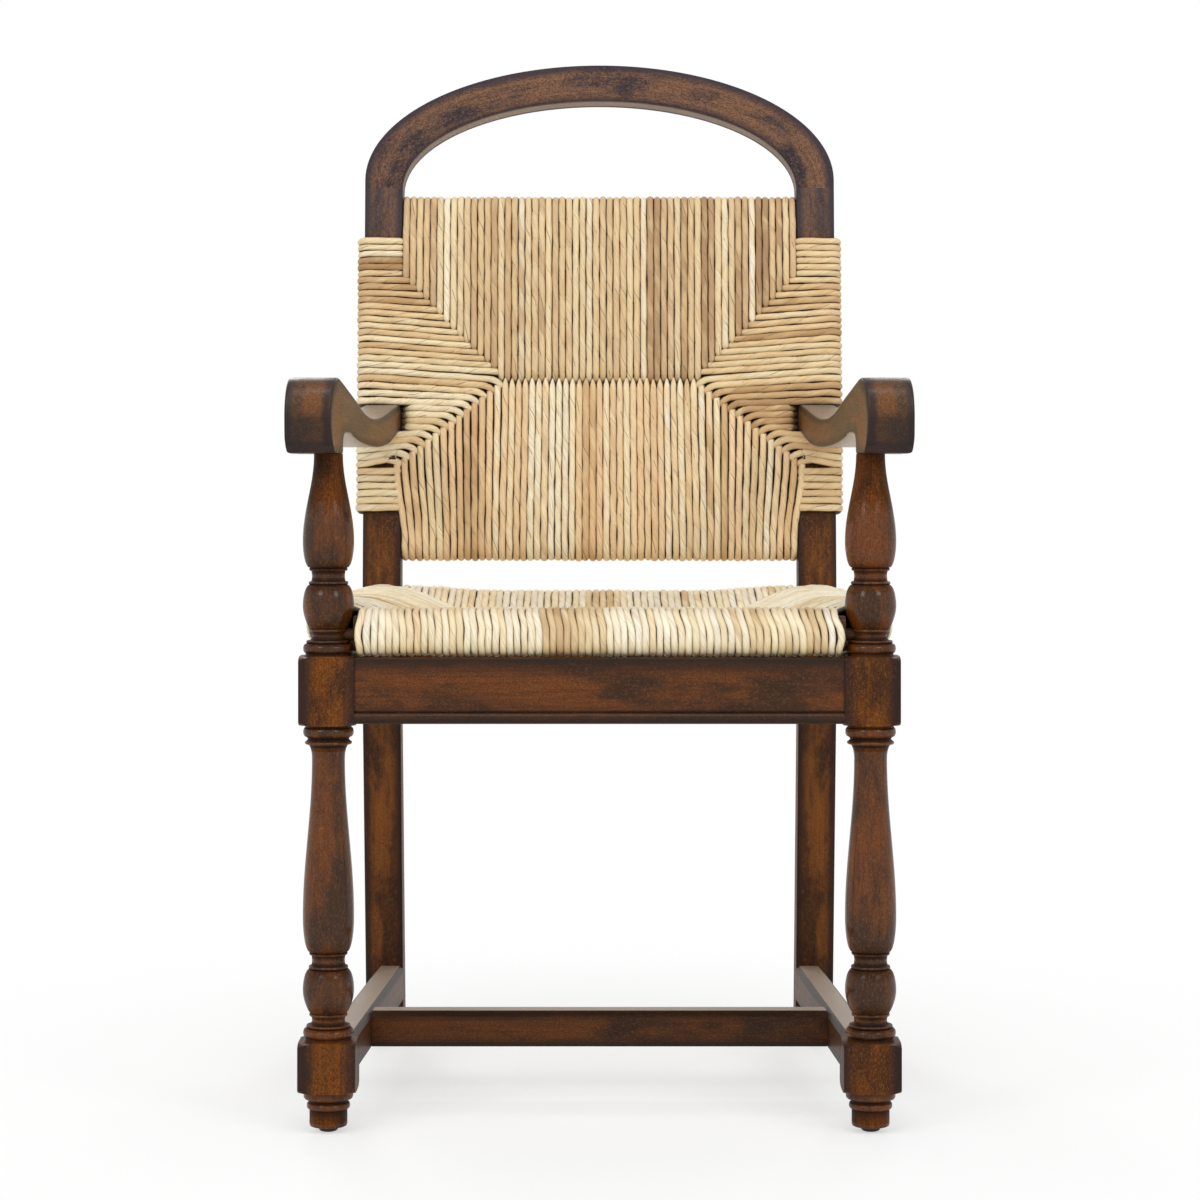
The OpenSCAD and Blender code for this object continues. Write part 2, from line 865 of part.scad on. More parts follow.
// Plan of the seat between the side rails, pulled in by g on every side
module seat_plan(g) {
    polygon([
        [g - side_rail_front, leg_y + g],
        [side_rail_front - g, leg_y + g],
        [side_rail_back - g, back_y - g],
        [g - side_rail_back, back_y - g]
    ]);
}

roll_round = 12;
module roll_section() {
    soft_rect(rail_w + 2 * cover, rail_h + 2 * cover, roll_round);
}

// Space in the seat's middle for the stuffing, pulled in by g
stuffing_drop = 32;
stuffing_h = 10;
stuffing_z = seat_front_z - stuffing_drop;
stuffing_inset = rail_w / 2 + cover + 12;
module stuffing_space(g) {
    translate([0, 0, stuffing_z + g])
        linear_extrude(stuffing_h - 2 * g)
            seat_plan(stuffing_inset + g);
}

module rush_seat() {
    slab_z = front_rail_z - rail_h / 2 - cover + 4;
    color(rush)
        difference() {
            union() {
                translate([-leg_x, leg_y, front_rail_z])
                    rotate([90, 0, 90])
                        linear_extrude(2 * leg_x)
                            roll_section();
                translate([-side_rail_back, back_y, rear_rail_z])
                    rotate([90, 0, 90])
                        linear_extrude(2 * side_rail_back)
                            roll_section();
                both_sides()
                    side_frame(side_rail_front, side_rail_back)
                        translate([0, leg_spacing, side_rail_z])
                            rotate([90, 0, 0])
                                linear_extrude(leg_spacing)
                                    roll_section();
                translate([0, 0, slab_z])
                    linear_extrude(seat_front_z - seat_dish - slab_z)
                        seat_plan(0);
            }
            front_rail_body(rush_gap);
            rear_rail_body(rush_gap);
            stuffing_space(0);
            both_sides() {
                side_rail_body(rush_gap);
                front_rail_tenon(rush_gap);
                side_rail_tenons(rush_gap);
                rear_rail_tenon(rush_gap);
                post_body(rush_gap);
                translate([leg_x, leg_y, 0])
                    cylinder(r = rail_end, h = far, $fn = 96);
                translate([leg_x - block_w / 2 - rush_gap, leg_y - block_w / 2, block_z])
                    cube([block_w, block_w + rush_gap, block_top - block_z + rush_gap]);
            }
        }
}

// Four pads, one in each quarter of the weave, between the layers of rush
module seat_stuffing() {
    slit = 1;
    front_half = side_rail_front - stuffing_inset;
    back_half = side_rail_back - stuffing_inset;
    y0 = leg_y + stuffing_inset;
    y1 = back_y - stuffing_inset;
    ym = (y0 + y1) / 2;
    color(straw)
        difference() {
            stuffing_space(rush_gap);
            for (end = [[front_half, y0], [-front_half, y0]])
                translate([0, 0, stuffing_z - 1])
                    linear_extrude(stuffing_h + 2)
                        polygon([
                            [end[0] - slit, end[1]],
                            [end[0] + slit, end[1]],
                            [-end[0] * back_half / front_half + slit, y1],
                            [-end[0] * back_half / front_half - slit, y1]
                        ]);
        }
}

module rush_back() {
    wrap_t = post_t + 2 * cover;
    panel_t = back_rail_t + 2 * cover;
    open_low = arm_v - arm_end_t / 2 - 2;
    open_high = arm_v + arm_end_t / 2 + 2;
    wrap_out = post_out + cover;
    panel_half = post_in - rush_gap;
    color(rush)
        difference() {
            union() {
                back_frame() {
                    difference() {
                        translate([-wrap_out, -wrap_t / 2, wrap_low])
                            cube([2 * wrap_out, wrap_t, wrap_high - wrap_low]);
                        both_sides()
                            translate([panel_half, -wrap_t, open_low])
                                cube([wrap_out, 2 * wrap_t, open_high - open_low]);
                    }
                    translate([-panel_half, 0, (panel_low + panel_high) / 2])
                        rotate([90, 0, 90])
                            linear_extrude(2 * panel_half)
                                soft_rect(panel_t, panel_high - panel_low, roll_round);
                }
            }
            back_rail_body(back_rail_low, rush_gap);
            back_rail_body(back_rail_high, rush_gap);
            both_sides() {
                post_body(rush_gap);
                back_rail_tenon(back_rail_low, rush_gap);
                back_rail_tenon(back_rail_high, rush_gap);
            }
        }
}

front_leg();  // front_leg_left
mirror([1, 0, 0]) front_leg();  // front_leg_right
back_post();  // back_post_left
mirror([1, 0, 0]) back_post();  // back_post_right
crest_arch();
crest_dowels();
arm();  // arm_left
mirror([1, 0, 0]) arm();  // arm_right
back_rail(back_rail_high);  // back_top_rail
back_rail(back_rail_low);  // back_bottom_rail
front_apron();
rear_apron();
side_apron();  // side_apron_left
mirror([1, 0, 0]) side_apron();  // side_apron_right
seat_rail_front();
seat_rail_rear();
seat_rail_side();  // seat_rail_left
mirror([1, 0, 0]) seat_rail_side();  // seat_rail_right
side_stretcher();  // side_stretcher_left
mirror([1, 0, 0]) side_stretcher();  // side_stretcher_right
cross_stretcher();
rush_seat();
seat_stuffing();
rush_back();
glide(leg_x, leg_y);  // glide_front_left
glide(-leg_x, leg_y);  // glide_front_right
glide(post_x, back_y + rake);  // glide_rear_left
glide(-post_x, back_y + rake);  // glide_rear_right
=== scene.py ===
# %% [markdown]
# Rush-seated armchair: turned front legs, scroll arms, an arched crest, and a seat and a back woven from
# rush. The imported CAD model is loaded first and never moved. Each visible piece is then modelled at the
# place that the CAD gives it, in metres, and stands for its CAD node. The floor is Z = 0 and the chair
# faces -Y.

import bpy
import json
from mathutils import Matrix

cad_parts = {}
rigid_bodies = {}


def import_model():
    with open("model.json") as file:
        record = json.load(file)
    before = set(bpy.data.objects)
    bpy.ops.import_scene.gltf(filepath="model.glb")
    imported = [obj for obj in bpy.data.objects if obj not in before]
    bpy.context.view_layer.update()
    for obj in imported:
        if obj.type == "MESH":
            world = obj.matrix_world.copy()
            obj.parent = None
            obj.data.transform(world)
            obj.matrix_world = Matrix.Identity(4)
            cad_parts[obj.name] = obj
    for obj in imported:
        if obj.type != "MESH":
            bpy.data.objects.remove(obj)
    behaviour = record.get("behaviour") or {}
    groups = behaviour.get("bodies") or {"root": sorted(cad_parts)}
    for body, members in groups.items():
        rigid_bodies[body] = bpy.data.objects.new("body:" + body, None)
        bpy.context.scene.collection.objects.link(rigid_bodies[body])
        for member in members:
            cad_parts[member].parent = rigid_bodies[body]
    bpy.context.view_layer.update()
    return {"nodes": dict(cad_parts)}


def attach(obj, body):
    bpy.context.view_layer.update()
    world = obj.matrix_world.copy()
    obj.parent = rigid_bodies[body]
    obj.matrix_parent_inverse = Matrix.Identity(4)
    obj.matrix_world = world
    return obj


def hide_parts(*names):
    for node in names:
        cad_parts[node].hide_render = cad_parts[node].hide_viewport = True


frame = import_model()

import json
import math
import random

import bpy
import numpy as np
from mathutils import Matrix, Vector

MM = 0.001
print("Blender", bpy.app.version_string)

# %% [markdown]
# The sizes that several pieces share. They repeat the named values of the CAD source, in millimetres, so
# that a leg, an arm and the rush that goes round a rail all meet at the same places as the solids do.

# %% Shared sizes
LEG_X, LEG_Y, ARM_Z = 257.5, -231.75, 643.0
BACK_Y, BEND_Z, RECLINE = 198.25, 508.0, math.radians(5)
SPACING = BACK_Y - LEG_Y
POST_X, POST_HALF, POST_IN, POST_OUT, POST_ROUND = 235.5, 20.5, 215.0, 256.0, 2.6
BLOCK_HALF, FOOT_HALF, INSET = 26.5, 27.3, 3.0
APRON_LOW, APRON_TOP, BLOCK_LOW, BLOCK_TOP = 388.0, 450.0, 386.0, 451.6
FOOT_LOW, FOOT_TOP, RAKE_Z, RAKE, GLIDE_H = 39.0, 87.0, 380.0, 58.0, 5.0
CREST_V, CREST_SPRING, CREST_TOP, CREST_INNER = 427.96, 436.96, 564.36, 97.4
STRETCH_LOW, STRETCH_TOP = 50.5, 86.0


def ease(t):
    """A soft step from 0 to 1."""
    t = min(max(t, 0.0), 1.0)
    return t * t * (3 - 2 * t)


def lean(x, w, v):
    """A point of the leaning back: x across, w out of its rear face, v up the back from the bend."""
    return (
        x,
        BACK_Y + w * math.cos(RECLINE) + v * math.sin(RECLINE),
        BEND_Z - w * math.sin(RECLINE) + v * math.cos(RECLINE),
    )


print("the crest's top stands at", round(lean(0, -POST_HALF, CREST_TOP)[2]), "mm")

# %% [markdown]
# Blender's operators act on whatever is selected, and loading the frame leaves its nodes selected. So
# each piece starts from an empty selection. These helpers also close a piece: its place goes into its
# mesh, it rides on the chair's one body, takes its finish, and hides the CAD node that it stands for.

# %% Helpers for making pieces


def mode(name):
    bpy.ops.object.mode_set(mode=name)


def start():
    """Nothing is selected and nothing is being edited."""
    if bpy.context.object and bpy.context.object.mode != "OBJECT":
        mode("OBJECT")
    bpy.ops.object.select_all(action="DESELECT")


def pick(piece):
    """Selects a piece alone and makes it the active one."""
    start()
    bpy.context.view_layer.objects.active = piece
    piece.select_set(True)


def edit(piece, chosen="SELECT"):
    """Opens a piece in edit mode with everything or nothing selected."""
    pick(piece)
    mode("EDIT")
    bpy.ops.mesh.select_all(action=chosen)


def round_edges(piece, width, test):
    """Bevels the edges whose two ends and sharpness pass a test, by a width in millimetres."""
    edit(piece, "DESELECT")
    bpy.ops.mesh.select_mode(type="EDGE")
    mode("OBJECT")
    faces_of = {}
    for face in piece.data.polygons:
        for key in face.edge_keys:
            faces_of.setdefault(key, []).append(face.normal.copy())
    chosen = 0
    for edge in piece.data.edges:
        around = faces_of.get(tuple(sorted(edge.vertices)), [])
        turn = around[0].angle(around[1], 0) if len(around) == 2 else math.pi
        a, b = (piece.data.vertices[i].co for i in edge.vertices)
        edge.select = bool(test(a, b, turn))
        chosen += edge.select
    mode("EDIT")
    bpy.ops.mesh.bevel(offset=width * MM, segments=3, affect="EDGES")
    mode("OBJECT")
    return chosen


def close_up(piece, smooth=35, merge=True):
    """Merges doubles, turns the faces outwards and shades all but the sharp edges smooth."""
    edit(piece)
    if merge:
        bpy.ops.mesh.remove_doubles(threshold=0.00002)
    bpy.ops.mesh.normals_make_consistent(inside=False)
    mode("OBJECT")
    bpy.ops.object.shade_smooth_by_angle(angle=math.radians(smooth))


def new_piece(name, points, edges, faces):
    """A piece from points in millimetres and the edges or faces between them."""
    mesh = bpy.data.meshes.new(name)
    mesh.from_pydata((np.asarray(points, float) * MM).tolist(), edges, faces)
    piece = bpy.data.objects.new(name, mesh)
    bpy.context.scene.collection.objects.link(piece)
    return piece


def box(name, size, place):
    """A cube stretched to a size in millimetres and set in its place."""
    start()
    bpy.ops.mesh.primitive_cube_add(size=1)
    piece = bpy.context.object
    piece.name = piece.data.name = name
    piece.data.transform(place @ Matrix.Diagonal([c * MM for c in size] + [1]))
    return piece


def extrude_section(name, section, length):
    """A bar along +Z: a filled polygon is given the section's points, in millimetres, and extruded."""
    start()
    bpy.ops.mesh.primitive_circle_add(vertices=len(section), radius=1, fill_type="NGON")
    piece = bpy.context.object
    piece.name = piece.data.name = name
    for vertex, point in zip(piece.data.vertices, section):
        vertex.co = (point[0] * MM, point[1] * MM, 0)
    edit(piece)
    bpy.ops.mesh.extrude_region_move(TRANSFORM_OT_translate={"value": (0, 0, length * MM)})
    mode("OBJECT")
    return piece


def cut(piece, point, normal):
    """Takes away what lies beyond a plane, and closes the end."""
    edit(piece)
    plane = [c * MM for c in point]
    bpy.ops.mesh.bisect(plane_co=plane, plane_no=normal, use_fill=True, clear_outer=True)
    mode("OBJECT")


def vector_attribute(piece, name, values):
    """Writes one vector for each vertex."""
    made = piece.data.attributes.new(name, "FLOAT_VECTOR", "POINT")
    made.data.foreach_set("vector", np.asarray(values, np.float32).ravel())


def mark_wood(piece, grain, section):
    """Writes the two attributes that steer the wood finish."""
    vector_attribute(piece, "grain", grain)
    vector_attribute(piece, "section", section)


def corners_of(piece):
    """The vertices of a piece as an array of millimetres."""
    flat = np.zeros(len(piece.data.vertices) * 3, np.float32)
    piece.data.vertices.foreach_get("co", flat)
    return flat.reshape(-1, 3) / MM


def copied(piece, name):
    """A copy with a mesh of its own."""
    other = piece.copy()
    other.data = piece.data.copy()
    other.name = other.data.name = name
    bpy.context.scene.collection.objects.link(other)
    return other


def mirrored(piece):
    """The same piece for the right side, with its faces turned outwards again."""
    other = copied(piece, piece.name.replace("left", "right"))
    other.data.transform(Matrix.Scale(-1, 4, (1, 0, 0)))
    other.data.flip_normals()
    return other


def settle(piece, finish, slot, *nodes):
    """Gives a finished piece its material, its body and the CAD nodes that it stands for."""
    piece.data.materials.clear()
    piece.data.materials.append(finish)
    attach(piece, "root")
    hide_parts(*nodes)
    print(piece.name, len(piece.data.polygons), "faces")


def settle_pair(piece, finish, slot):
    """Settles a piece of the left side and its mirror image; the nodes have their names without _wood."""
    for one in (piece, mirrored(piece)):
        settle(one, finish, slot, one.name.removesuffix("_wood"))


print("helpers are ready")

# %% [markdown]
# A finish is a small program of nodes. Its links could be made one by one, but a line of maths is easier
# to read and to change. So one class wraps a node's output, and a * b then adds a Math node by itself.
# Every other node comes from one method.

# %% Shader maths


class Level:
    """One number that changes over the surface."""

    def __init__(self, finish, socket):
        self.finish, self.socket = finish, socket

    def math(self, operation, first, second=0.0):
        made = self.finish.node("ShaderNodeMath", {"operation": operation}, {0: first, 1: second})
        return Level(self.finish, made.outputs[0])

    __add__ = __radd__ = lambda self, other: self.math("ADD", self, other)
    __mul__ = __rmul__ = lambda self, other: self.math("MULTIPLY", self, other)
    __sub__ = lambda self, other: self.math("SUBTRACT", self, other)
    __rsub__ = lambda self, other: self.math("SUBTRACT", other, self)
    least = lambda self, other: self.math("MINIMUM", self, other)
    most = lambda self, other: self.math("MAXIMUM", self, other)
    size = lambda self: self.math("ABSOLUTE", self)

    def rise(self, low, high):
        """0 below low, 1 above high and a soft step between."""
        settings = {"interpolation_type": "SMOOTHSTEP", "clamp": True}
        made = self.finish.node("ShaderNodeMapRange", settings, {0: self, 1: low, 2: high, 3: 0.0, 4: 1.0})
        return Level(self.finish, made.outputs[0])


class Finish:
    """A material, or the world, whose nodes are added by one method."""

    def __init__(self, owner, shader="ShaderNodeBsdfPrincipled", output="ShaderNodeOutputMaterial"):
        owner.use_nodes = True
        self.owner, self.tree = owner, owner.node_tree
        self.tree.nodes.clear()
        self.shader = self.node(shader)
        self.output = self.node(output, {}, {"Surface": self.shader.outputs[0]})

    def node(self, kind, settings=None, sockets=None):
        """A node of that kind; its settings come first, then the values or links of its sockets."""
        made = self.tree.nodes.new(kind)
        for key, value in (settings or {}).items():
            setattr(made, key, value)
        for key, value in (sockets or {}).items():
            self.put(made.inputs[key], value)
        return made

    def put(self, socket, value):
        """Links or sets one socket."""
        if isinstance(value, Level):
            value = value.socket
        if isinstance(value, bpy.types.NodeSocket):
            self.tree.links.new(value, socket)
        else:
            socket.default_value = value

    def surface(self, values):
        """Links or sets sockets of the shader itself."""
        for key, value in values.items():
            self.put(self.shader.inputs[key], value)

    def colour(self, factor, first, second):
        """first changes to second as factor goes from 0 to 1."""
        settings = {"data_type": "RGBA", "blend_type": "MIX", "clamp_factor": True}
        return self.node("ShaderNodeMix", settings, {0: factor, 6: first, 7: second}).outputs[2]

    def attribute(self, name):
        return self.node("ShaderNodeAttribute", {"attribute_name": name})

    def place(self):
        return self.node("ShaderNodeTexCoord").outputs["Object"]

    def split(self, vector):
        """The three numbers of a vector."""
        node = self.node("ShaderNodeSeparateXYZ", {}, {0: vector})
        return [Level(self, socket) for socket in node.outputs]

    def noise(self, vector, stretch, detail=2.0, rough=0.5):
        """Noise on a vector whose three directions are stretched by their own scales, in cycles a metre."""
        scaled = self.node("ShaderNodeVectorMath", {"operation": "MULTIPLY"}, {0: vector, 1: stretch})
        sockets = {"Vector": scaled.outputs[0], "Scale": 1.0, "Detail": detail, "Roughness": rough}
        return Level(self, self.node("ShaderNodeTexNoise", {"noise_dimensions": "3D"}, sockets).outputs[0])

    def bump(self, height, depth, strength=1.0):
        node = self.node("ShaderNodeBump", {}, {"Strength": strength, "Distance": depth, "Height": height})
        self.surface({"Normal": node.outputs[0]})


def material(name):
    return Finish(bpy.data.materials.new(name))


def tone(red, green, blue):
    """A colour as it shows on screen, 0 to 255, turned into the light that Blender works with."""
    light = [c / 255 for c in (red, green, blue)]
    return [c / 12.92 if c <= 0.04045 else ((c + 0.055) / 1.055) ** 2.4 for c in light] + [1.0]


print("mid brown is", [round(c, 3) for c in tone(90, 50, 25)])

# %% [markdown]
# The wood is stained dark and then rubbed, so the middle of each face is a warmer orange brown and its
# edges and grooves stay near black. Fine pores and pale scuffs of an old polished surface lie over that.
# A picture of wood would stretch round the bends. Noise does not, because two attributes of each piece
# steer it: grain holds the piece straightened out, in metres, with its length along Z, and section says
# how near a face's middle or its edge a point is, and how deep in a turned groove. Its third number also
# carries painted shade, such as under the arms and below the seat, and below zero painted light, on
# undersides that face the floor and on tops that catch a sheen.

# %% The wood finish


def wood(name, warm, mid, dark, scuffs, rough, edges=(0.42, 1.02), grit=0.55, coat=(0.1, 0.2),
         mottle=0.35, upper=None, hidden=False, dulled=False):
    """A stained and rubbed wood: scuffs is how much pale wear shows, edges is where the dark edge begins and
    ends, grit is how strong the pores are, mottle how strong the dark clouds, coat is the polish and its
    roughness, and upper holds the three tones that take over above 0.9 m. Where it is dulled, the grooves and
    dark places have lost the polish. A hidden wood has neither of the two attributes."""
    made = material(name)
    if hidden:
        grain = made.place()
        across = through = stain_and_shade = made.noise(grain, (1, 1, 1)) * 0
    else:
        grain = made.attribute("grain").outputs["Vector"]
        across, through, stain_and_shade = made.split(made.attribute("section").outputs["Vector"])
    patch = made.noise(grain, (17, 17, 8.5), 3.0, 0.55)
    cloud = made.noise(grain, (70, 70, 24), 3.0, 0.6)
    streak = made.noise(grain, (420, 420, 12), 4.0, 0.62)
    pores = made.noise(grain, (900, 900, 560), 3.0, 0.75)
    fleck = made.noise(grain, (520, 520, 300), 3.0, 0.7)
    if upper:
        high = made.split(grain)[2].rise(0.84, 0.9)
        warm, mid, dark = (made.colour(high, low, top) for low, top in zip((warm, mid, dark), upper))
    edge = across.size().least(through.size())
    worn_edge = (edge + (patch - 0.5) * 0.6 + (cloud - 0.5) * 0.5).rise(*edges)
    colour = made.colour((patch + (cloud - 0.5) * 0.5).rise(0.38, 0.64), mid, warm)
    colour = made.colour(streak.rise(0.38, 0.72) * 0.4, colour, dark)
    colour = made.colour((1 - ((cloud + patch) * 0.5).rise(0.38, 0.53)) * mottle, colour, dark)
    colour = made.colour(fleck.rise(0.5, 0.66) * scuffs, colour, tone(172, 120, 76))
    colour = made.colour(pores.rise(0.44, 0.62) * grit, colour, tone(24, 14, 9))
    colour = made.colour(worn_edge * 0.88, colour, dark)
    # Stain in the turned grooves, and painted shade where the third number of section carries it
    colour = made.colour(stain_and_shade.rise(0.1, 0.75) * 0.85, colour, tone(28, 20, 19))
    # Below zero the same number paints a pale tone: painted light on undersides that face the floor, and a
    # painted sheen on tops
    pale = (stain_and_shade * -1.0).rise(0.1, 0.9) * (0.85 - pores.rise(0.5, 0.7) * 0.4)
    made.surface({
        "Base Color": made.colour(pale, colour, tone(196, 180, 164)),
        "Roughness": rough + (streak - 0.5) * 0.2 + pores.rise(0.45, 0.65) * 0.12,
        "Specular IOR Level": 0.06,
        "Coat Weight": (1 - stain_and_shade.rise(0.0, 0.14)) * coat[0] if dulled else coat[0],
        "Coat Roughness": coat[1],
    })
    made.bump(streak * 0.5 + fleck * 0.3 - pores.rise(0.45, 0.65) * 0.6, 0.0002, 0.5)
    made.owner.diffuse_color = tone(92, 56, 34)
    return made.owner


NEAR_BLACK = tone(36, 27, 27)
CREST_TONES = (tone(129, 94, 73), tone(95, 75, 68), tone(51, 47, 56))
wood_leg = wood("wood_turned", tone(112, 58, 12), tone(74, 41, 13), tone(30, 17, 10), 0.14, 0.42,
                coat=(0.44, 0.13), dulled=True)
wood_block = wood("wood_block", tone(120, 65, 10), tone(83, 44, 10), NEAR_BLACK, 0.22, 0.5,
                  (0.34, 0.84), 0.6, (0.12, 0.2))
wood_post = wood("wood_post", tone(154, 92, 40), tone(101, 60, 30), tone(40, 30, 28), 0.18, 0.5,
                 (0.46, 0.96), 0.45, (0.12, 0.3), 0.5, CREST_TONES)
wood_crest = wood("wood_crest", *CREST_TONES, 0.34, 0.62, (0.46, 0.94), 0.6, (0.06, 0.4), 0.85)
wood_arm = wood("wood_arm", tone(118, 72, 32), tone(86, 56, 32), NEAR_BLACK, 0.24, 0.4,
                (0.5, 0.84), 0.5, (0.38, 0.34))
wood_apron = wood("wood_apron", tone(108, 58, 18), tone(72, 40, 14), tone(30, 19, 13), 0.12, 0.5,
                  coat=(0.28, 0.25))
wood_stretcher = wood("wood_stretcher", tone(100, 54, 16), tone(66, 37, 14), tone(28, 18, 13), 0.12, 0.5,
                      coat=(0.22, 0.3))
wood_hidden = wood("wood_hidden", tone(92, 62, 40), tone(72, 48, 32), tone(48, 33, 25), 0.1, 0.7, hidden=True)
print("wood finishes:", len(bpy.data.materials))

# %% [markdown]
# A front leg is one turned piece with two square blocks. On a lathe its outline is a line of beads,
# coves and swellings. Spheres and cylinders could be stacked up, but there would be a seam at every
# bead. So it is made as on the lathe: the outline is drawn once as edges and spun round the leg's axis.

# %% Outline of the turned leg
BEAD_R, COLLAR_R, FILLET_R, NECK_R, SWELL_R, TOP_R, FOOT_R = 24.0, 21.0, 18.2, 15.6, 24.3, 13.7, 18.0


def quarter(r0, z0, r1, z1, sideways, steps):
    """A quarter of an ellipse between two points of an outline; it leaves sideways or upwards."""
    line = []
    for i in range(steps + 1):
        s, c = math.sin(math.pi / 2 * i / steps), math.cos(math.pi / 2 * i / steps)
        out, up = (s, 1 - c) if sideways else (1 - c, s)
        line.append((r0 + (r1 - r0) * out, z0 + (z1 - z0) * up))
    return line


def bulge(r0, z0, r, z, r1, z1, steps):
    """Out to radius r at height z, and back: a bead, or a neck where r is the smaller."""
    return quarter(r0, z0, r, z, True, steps) + quarter(r, z, r1, z1, False, steps)[1:]


def swell(r0, z0, r1, z1, steps):
    """From a neck up to the widest place of a ball, a little straighter than an ellipse."""
    line = []
    for t in (i / steps for i in range(steps + 1)):
        share = 0.65 * math.sin(math.pi / 2 * t) + 0.35 * math.sqrt(1 - (1 - t) ** 2)
        line.append((r0 + (r1 - r0) * share, z0 + (z1 - z0) * t))
    return line


def taper(r0, z0, r1, z1, steps):
    """A long soft change of radius."""
    shares = [i / steps for i in range(1, steps + 1)]
    return [(r1 + (r0 - r1) * (1 + math.cos(math.pi * t)) / 2, z0 + (z1 - z0) * t) for t in shares]


def stack(z):
    """Bead, collar, neck, ball, neck and ring above a block."""
    return (
        bulge(BEAD_R - 2.4, z + 2.5, BEAD_R, z + 7, BEAD_R - 3.5, z + 11.5, 6)
        + bulge(COLLAR_R - 1.2, z + 11.5, COLLAR_R, z + 13, COLLAR_R - 1, z + 14.5, 4)
        + bulge(COLLAR_R - 2, z + 14.5, NECK_R, z + 18.5, NECK_R + 1.2, z + 22.5, 6)
        + bulge(FILLET_R - 1, z + 22.5, FILLET_R, z + 24, FILLET_R - 1.2, z + 25.5, 4)
        + swell(FILLET_R - 1, z + 25.5, SWELL_R, z + 47.5, 16)
        + quarter(SWELL_R, z + 47.5, FILLET_R - 1, z + 67.5, False, 14)[1:]
        + bulge(FILLET_R - 0.6, z + 67.5, FILLET_R + 0.6, z + 69, FILLET_R - 1, z + 70.5, 4)
        + bulge(NECK_R + 1, z + 70.5, NECK_R, z + 75.5, NECK_R + 1, z + 80.5, 6)
        + bulge(FILLET_R - 1.2, z + 80.5, FILLET_R, z + 82, FILLET_R - 1.4, z + 83.5, 4)
    )


def under_block(z):
    """Cove, ring, groove and bead that lead up to a block."""
    ring = z - 18.5
    return (
        quarter(NECK_R, ring - 14, COLLAR_R - 1, ring, False, 12)
        + bulge(COLLAR_R, ring, COLLAR_R + 1.4, ring + 1.5, COLLAR_R, ring + 3, 5)
        + [(COLLAR_R - 1.6, ring + 5)]
        + bulge(BEAD_R - 3.4, z - 11.5, BEAD_R, z - 7, BEAD_R - 2, z - 2.5, 6)
        + [(BEAD_R - 2, z + 1)]
    )


leg_outline = (
    [(0, GLIDE_H), (FOOT_R - 2, GLIDE_H), (FOOT_R - 0.6, GLIDE_H + 0.7)]
    + [(FOOT_R, GLIDE_H + 2.4), (FOOT_R, 22)]
    + bulge(FOOT_R + 1.2, 22, FOOT_R + 2.6, 25, FOOT_R + 0.6, 28, 4)
    + [(FOOT_R + 0.8, 30)]
    + bulge(FOOT_R + 3.4, 31, FOOT_R + 5.6, 34, FOOT_R + 4, FOOT_LOW + 1, 5)
    + [(BEAD_R - 2, FOOT_TOP - 1)]
    + stack(FOOT_TOP)
    + quarter(FILLET_R - 0.4, FOOT_TOP + 83.5, SWELL_R, FOOT_TOP + 116.5, True, 16)
    + taper(SWELL_R, FOOT_TOP + 116.5, NECK_R, BLOCK_LOW - 32.5, 24)
    + under_block(BLOCK_LOW)
    + [(BEAD_R - 2, BLOCK_TOP - 1)]
    + stack(BLOCK_TOP)
    + quarter(FILLET_R - 0.4, BLOCK_TOP + 83.5, SWELL_R, BLOCK_TOP + 108.5, True, 16)
    + taper(SWELL_R, BLOCK_TOP + 108.5, TOP_R, ARM_Z, 20)
    + [(0, ARM_Z)]
)
print("leg outline:", len(leg_outline), "points")

# %% Spin the leg


def spun(name, outline, steps):
    """An outline of radius and height, in millimetres, spun round the upright axis."""
    links = [(i, i + 1) for i in range(len(outline) - 1)]
    piece = new_piece(name, [(r, 0, z) for r, z in outline], links, [])
    edit(piece)
    bpy.ops.mesh.spin(steps=steps, angle=2 * math.pi, center=(0, 0, 0), axis=(0, 0, 1))
    close_up(piece, 32)
    return piece


front_leg = spun("front_leg_left_turned", leg_outline, 80)
print("turned body:", len(front_leg.data.polygons), "faces")

# %% [markdown]
# A block is the square wood that the lathe leaves between the turned parts, with its corners turned down
# at both ends. Many cuts with planes could come near that round shoulder. Crossing a cube that has soft
# upright edges with a spun solid gives it at once, in the way the turning tool does.

# %% The leg's two square blocks


def turned_block(name, half, low, high):
    """A cube with softened upright edges whose ends are turned down to round shoulders."""
    middle = Matrix.Translation((0, 0, (low + high) / 2 * MM))
    piece = box(name, (2 * half, 2 * half, high - low), middle)
    round_edges(piece, 1.1, lambda a, b, turn: abs(a.z - b.z) > 0.01)
    rim, corner, drop = half + 1.2, half * math.sqrt(2) + 1, 9
    shoulders = quarter(rim, low, corner, low + drop, True, 8)
    shoulders += quarter(corner, high - drop, rim, high, False, 8)
    turned = spun(name + "_shoulders", [(0, low)] + shoulders + [(0, high)], 96)
    pick(piece)
    bpy.ops.object.modifier_add(type="BOOLEAN")
    modifier = piece.modifiers[-1]
    modifier.operation, modifier.solver, modifier.object = "INTERSECT", "EXACT", turned
    bpy.ops.object.modifier_apply(modifier=modifier.name)
    bpy.data.objects.remove(turned)
    close_up(piece, 28)
    return piece


upper_block = turned_block("front_leg_left_upper", BLOCK_HALF, BLOCK_LOW, BLOCK_TOP)
lower_block = turned_block("front_leg_left_lower", FOOT_HALF, FOOT_LOW, FOOT_TOP)
print("blocks:", len(upper_block.data.polygons), len(lower_block.data.polygons), "faces")

# %% [markdown]
# Stain gathers in the grooves of a turned leg, and the proud parts are rubbed clean. The grooves could
# be painted one by one, but their depth can be measured: it is how far a point lies inside the outline
# close above and below it. The right leg is the mirror image of the left, in another stretch of the same
# wood.

# %% Mark the grain and copy the legs


